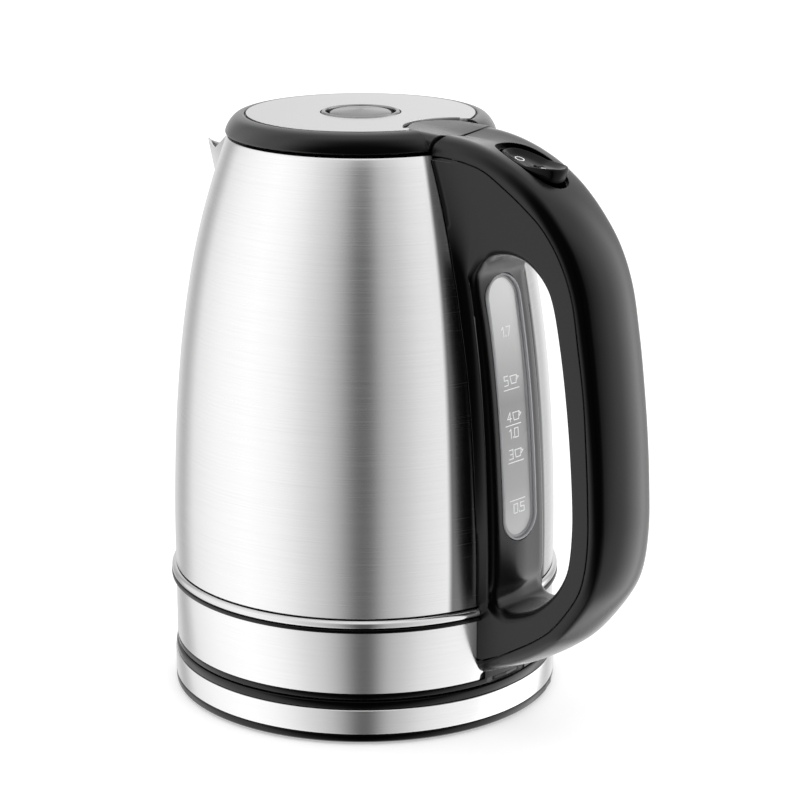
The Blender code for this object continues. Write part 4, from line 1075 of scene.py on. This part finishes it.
def stage():
    """Pale matt floor that carries on past the picture."""
    far = 6000.0
    corners = [(-far, -far, 0.0), (far, -far, 0.0), (far, far, 0.0), (-far, far, 0.0)]
    floor = raw_object("floor", corners, [(0, 1, 2, 3)])
    look = Look("floor_look", Base_Color=(0.86, 0.86, 0.86), Roughness=0.9,
                Emission_Color=(1.0, 1.0, 1.0), Emission_Strength=0.40)
    look.put("Specular IOR Level", 0.0)
    floor.data.materials.append(look.material)
    floor.visible_glossy = False


CAMERA_PLACE = Vector((0.71021, -0.75365, 0.41364))
CAMERA_AIM = Vector((-0.649673, 0.709525, -0.272940))


def studio():
    """Soft light from all round, with one dark gap on the camera's side."""
    world = bpy.data.worlds.new("studio")
    bpy.context.scene.world = world
    world.use_nodes = True
    tree = world.node_tree
    tree.nodes.clear()

    def node(kind, inputs=None, **settings):
        return add_node(tree, kind, inputs, **settings)

    ahead = Vector((CAMERA_PLACE.x, CAMERA_PLACE.y, 0.0)).normalized()
    right = Vector((-ahead.y, ahead.x, 0.0))
    way = node("TexCoord").outputs["Generated"]
    forward = node("VectorMath", {0: way, 1: ahead}, operation="DOT_PRODUCT").outputs["Value"]
    sideways = node("VectorMath", {0: way, 1: right}, operation="DOT_PRODUCT").outputs["Value"]
    angle = node("Math", {0: sideways, 1: forward}, operation="ARCTAN2").outputs[0]
    share = node("MapRange", {"Value": angle, "From Min": -math.pi, "From Max": math.pi}).outputs[0]
    ramp = node("ValToRGB", {"Fac": share})
    stops = [(-180, 0.86), (-160, 0.80), (-149, 0.58), (-141, 0.48), (-134, 0.66), (-126, 0.96),
             (-100, 1.16), (-74, 1.26), (-56, 1.16), (-45, 1.02), (-35, 0.84), (-25, 0.70),
             (-16, 0.50), (-9, 0.26), (-4, 0.12), (3, 0.12), (7, 0.28), (13, 0.52), (24, 0.68),
             (34, 0.88), (50, 1.04), (70, 1.15), (95, 1.9), (122, 1.9), (133, 0.80), (141, 0.58),
             (149, 0.72), (160, 0.96), (180, 0.96)]
    elements = ramp.color_ramp.elements
    elements[0].position = 0.0
    elements[0].color = (stops[0][1],) * 3 + (1,)
    elements[1].position = 1.0
    elements[1].color = (stops[-1][1],) * 3 + (1,)
    for degrees, level in stops[1:-1]:
        stop = elements.new((degrees + 180.0) / 360.0)
        stop.color = (level,) * 3 + (1,)
    parts = node("SeparateXYZ", {0: way}).outputs
    high = node("MapRange", {"Value": parts["Z"], "From Min": 0.45, "From Max": 0.85},
                interpolation_type="SMOOTHSTEP").outputs[0]
    blend = node("MixRGB", {"Fac": high, "Color1": ramp.outputs[0], "Color2": (1.0, 1.0, 1.0, 1.0)})
    light = node("Background", {"Color": blend.outputs[0], "Strength": 1.0})
    out = node("OutputWorld")
    tree.links.new(light.outputs[0], out.inputs["Surface"])


def camera():
    data = bpy.data.cameras.new("camera")
    data.sensor_width = 36.0
    data.lens = 116.97
    obj = bpy.data.objects.new("camera", data)
    bpy.context.scene.collection.objects.link(obj)
    obj.location = CAMERA_PLACE
    obj.rotation_euler = CAMERA_AIM.to_track_quat("-Z", "Y").to_euler()
    bpy.context.scene.camera = obj


stage()
studio()
camera()
bpy.context.scene.view_settings.view_transform = "Standard"
